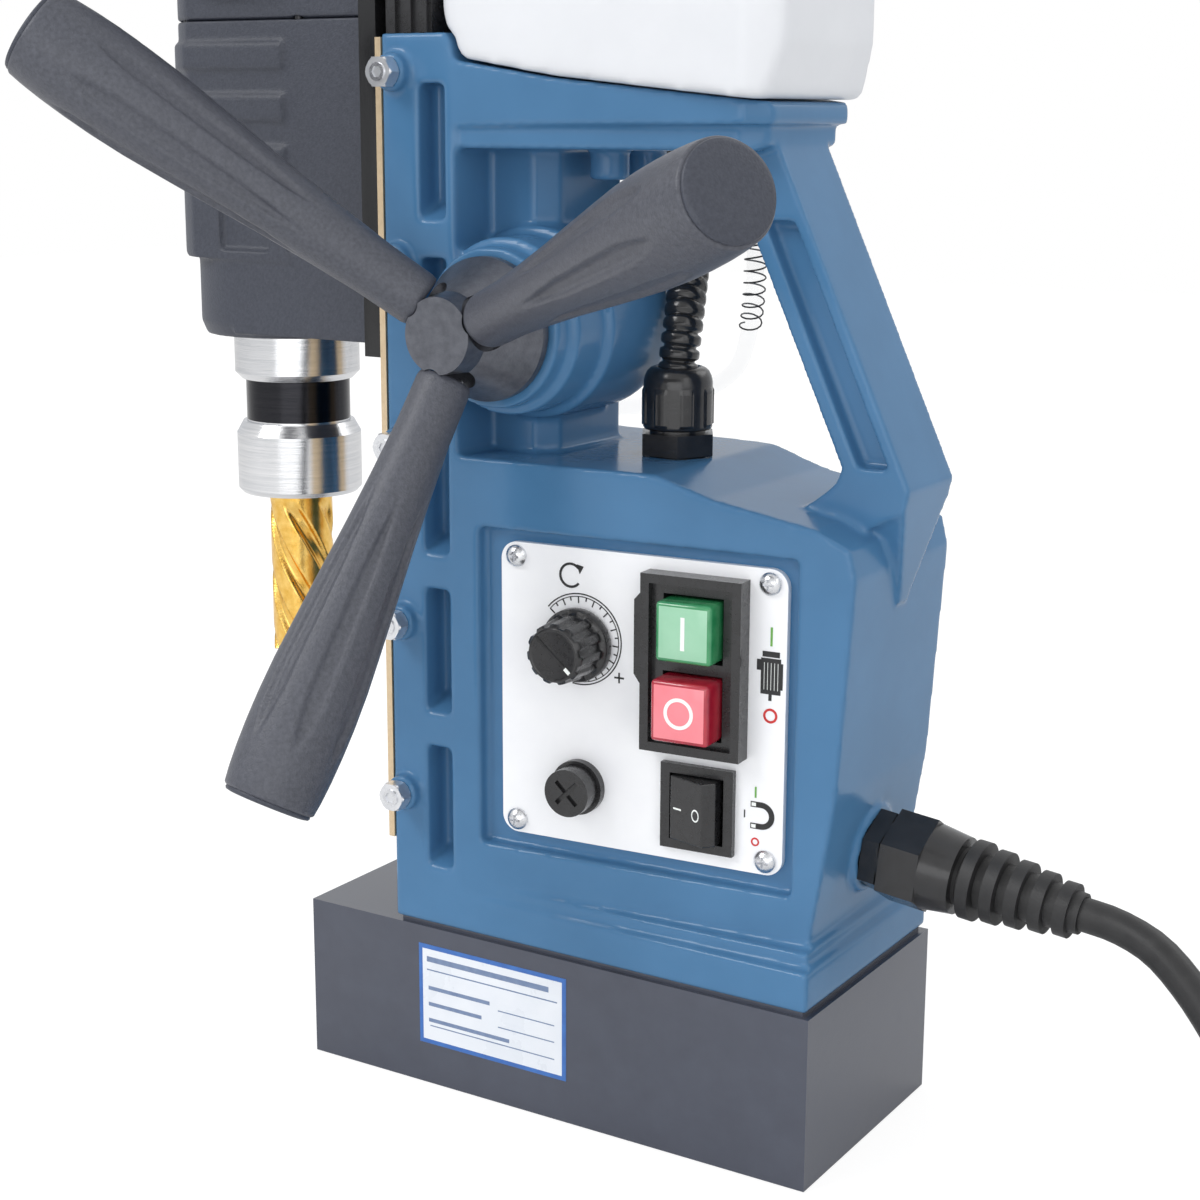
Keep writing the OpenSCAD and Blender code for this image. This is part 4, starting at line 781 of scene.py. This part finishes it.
def make_print():
    """The panel's generic signs: dial scale, turning arrow, plus, on and off marks, motor and magnet signs."""
    x, z = KNOB[0], KNOB[1] + 1.2
    black = arc(x, z, 13.1, 0.35, -100, 140, 40) + arc(x, z, 12.3, 0.25, -100, 140, 40)
    for i in range(21):
        a = math.radians(140 - 240 * i / 20)
        long = 1.9 if i % 2 == 0 else 1.1
        black.append(bar(x + 12.3 * math.cos(a), z + 12.3 * math.sin(a),
                         x + (12.3 - long) * math.cos(a), z + (12.3 - long) * math.sin(a), 0.35))
    black += [bar(20.2, 135.8, 23.2, 135.8, 0.5), bar(21.7, 134.3, 21.7, 137.3, 0.5)]
    black += arc(6.3, 163.6, 3.3, 0.7, 40, 320, 20)
    black.append([(8.2, 166.9), (10.4, 166.4), (9.2, 164.2)])
    # motor sign
    black.append([(64.6, 137.0), (70.4, 137.0), (70.4, 147.0), (64.6, 147.0)])
    black.append([(65.0, 147.35), (70.0, 147.35), (70.0, 148.9), (65.0, 148.9)])
    black += [[(63.4, 143.5), (64.6, 143.5), (64.6, 146.5), (63.4, 146.5)],
              [(70.4, 138.5), (71.0, 138.5), (71.0, 145.8), (70.4, 145.8)], bar(67.4, 137, 67.4, 135.2, 0.9)]
    # magnet sign
    black += arc(65.6, 102.3, 3.1, 1.6, -90, 90, 14)
    black += [bar(62.4, 105.4, 65.6, 105.4, 1.6), bar(62.4, 99.2, 65.6, 99.2, 1.6),
              bar(60.6, 101.2, 60.6, 103.4, 0.35)]
    printed("signs_black", black, "print_black")
    printed("signs_light", [bar(65.6 + 1.0 * i, 138.2, 65.6 + 1.0 * i, 145.8, 0.13) for i in range(5)]
            + [bar(62.7, 105.4, 64.0, 105.4, 1.0), bar(62.7, 99.2, 64.0, 99.2, 1.0)], "print_white", y1=-0.18)
    printed("signs_green", [bar(67.5, 150.4, 67.5, 155.6, 0.6), bar(63.8, 107.3, 63.8, 110.4, 0.5)],
            "print_green")
    printed("signs_red", arc(67.6, 131.0, 1.75, 0.65, 0, 360, 28) + arc(63.9, 94.6, 1.0, 0.45, 0, 360, 22),
            "print_red")


def make_rocker():
    """The magnet switch: a long and a short flat that meet in a ridge, with two marks on the long one."""
    edge, ridge, half = (-7.4, -3.2), (4.0, -7.0), 9.2
    outline = [edge, ridge, (6.9, -4.4), (7, 0), (2, 5), (-2, 5), (-7.2, 0)]
    n = len(outline)
    points = [on_panel(ROCKER[0] + x, y, ROCKER[1] + side * half) for side in (-1, 1) for x, y in outline]
    faces = [[k, (k + 1) % n, n + (k + 1) % n, n + k] for k in range(n)]
    faces += [list(reversed(range(n))), list(range(n, 2 * n))]
    rocker = add_piece("rocker_cap", mesh_of("rocker_cap", points, faces), "rocker", "black_plastic",
                       smooth=False, bevel=0.35)
    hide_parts("magnet_rocker")

    def on_face(x, y, z):
        slope = (ridge[1] - edge[1]) / (ridge[0] - edge[0])
        return on_panel(ROCKER[0] + x, edge[1] + slope * (x - edge[0]) + y, z)

    marks = [bar(-6.2, 101.8, -3.4, 101.8, 0.5)] + arc(1.7, 101.4, 1.6, 0.42, 0, 360, 26, squeeze=0.72)
    printed("rocker_signs", marks, "print_white", y0=0.05, y1=-0.08, body="rocker", place=on_face)


make_knob()
make_buttons()
make_print()
make_rocker()

# ---------------------------------------------------------------- label on the magnet


def make_label():
    """A plain inspection label: blue border, white field, ruled lines, no words."""
    def on_magnet(x, y, z):
        return v(x, -40 + y, z)

    printed("label_border", [[(-45, 13), (8, 13), (8, 45), (-45, 45)]], "print_blue", 0.05, -0.10,
            place=on_magnet)
    printed("label_field", [[(-43.6, 14.4), (6.6, 14.4), (6.6, 43.6), (-43.6, 43.6)]], "label_white",
            0.05, -0.16, place=on_magnet)
    lines = [bar(-42, 37.0, 5, 37.0, 0.4), bar(-16, 29.6, 4, 29.6, 0.35), bar(-16, 24.4, 4, 24.4, 0.35),
             bar(-41, 19.0, 4, 19.0, 0.35)]
    lines += [bar(-42, 40.4, 2, 40.4, 1.7), bar(-41.5, 31.2, -19, 31.2, 1.2), bar(-41.5, 26.0, -22, 26.0, 1.2),
              bar(-41.5, 20.8, -12, 20.8, 1.2)]
    printed("label_lines", lines, "print_grey", 0.05, -0.20, place=on_magnet)


make_label()

# ---------------------------------------------------------------- CAD nodes that show as they are

# Every node takes its recorded material; the ones under BEVELS also get rounded edges, in millimetres.
for slot in frame["record"]["subparts"]:
    node = nodes.get(slot["node"])
    if node is None:
        continue
    material = M[slot["material_slot"]]
    if not node.material_slots:
        node.data.materials.append(material)
    for held in node.material_slots:
        held.material = material
BEVELS = {"magnet_body": 1.0, "switch_body": 0.9, "rocker_frame": 0.6, "slide_plate": 0.5,
          "control_panel": 0.25, "capstan_hub": 0.5, "mains_gland_nut": 0.6, "mains_gland_body": 0.4,
          "strain_relief": 0.8, "motor_gland_body": 0.5, "column_cap": 0.5, "fuse_cap": 0.4, "fuse_holder": 0.5,
          "wear_strips": 0.2, "release_sleeve": 0.3, "spindle": 0.3, "tank_lid": 0.6,
          "valve_lever": 0.5, "panel_screws": 0.15, "pinion_cover": 0.8, "conduit_elbow": 0.8}
for name, width in BEVELS.items():
    for face in nodes[name].data.polygons:
        face.use_smooth = True
    add_bevel(nodes[name], width)

# ---------------------------------------------------------------- studio


def backdrop():
    """White paper lit from behind: pure white to the camera, plain white card to every other ray."""
    mat = bpy.data.materials.new("backdrop")
    mat.use_nodes = True
    tree = mat.node_tree
    tree.nodes.clear()
    new, link = tree.nodes.new, tree.links.new
    card, seen, glow = new("ShaderNodeBsdfDiffuse"), new("ShaderNodeBsdfDiffuse"), new("ShaderNodeEmission")
    card.inputs["Color"].default_value = (0.80, 0.80, 0.80, 1)
    seen.inputs["Color"].default_value = (0.30, 0.30, 0.30, 1)
    glow.inputs["Strength"].default_value = 0.80
    both, mix = new("ShaderNodeAddShader"), new("ShaderNodeMixShader")
    path, out = new("ShaderNodeLightPath"), new("ShaderNodeOutputMaterial")
    link(seen.outputs[0], both.inputs[0])
    link(glow.outputs[0], both.inputs[1])
    link(path.outputs["Is Camera Ray"], mix.inputs[0])
    link(card.outputs[0], mix.inputs[1])
    link(both.outputs[0], mix.inputs[2])
    link(mix.outputs[0], out.inputs["Surface"])
    return mat


FLOOR_HALF = 3000
corners = [v(x * FLOOR_HALF, y * FLOOR_HALF, 0) for x, y in ((-1, -1), (1, -1), (1, 1), (-1, 1))]
floor_mesh = mesh_of("floor", corners, [[0, 1, 2, 3]])
floor = bpy.data.objects.new("floor", floor_mesh)
bpy.context.collection.objects.link(floor)
floor.location.z = -0.0003
floor_mesh.materials.append(backdrop())
make_world()
add_area("key", (-0.9, -1.3, 1.5), (0, 0, 0.15), (0.8, 0.8), 14)
add_area("fill", (1.5, -0.9, 0.8), (0, 0, 0.15), (0.6, 1.2), 2.2)
add_area("front", (0.45, -1.25, 0.35), (0, 0, 0.14), (1.2, 0.6), 3.2)
add_area("back", (0.7, 1.2, 1.3), (0, 0, 0.2), (1.2, 0.8), 4)
bpy.context.scene.view_settings.view_transform = "Standard"
bpy.context.scene.view_settings.look = "None"
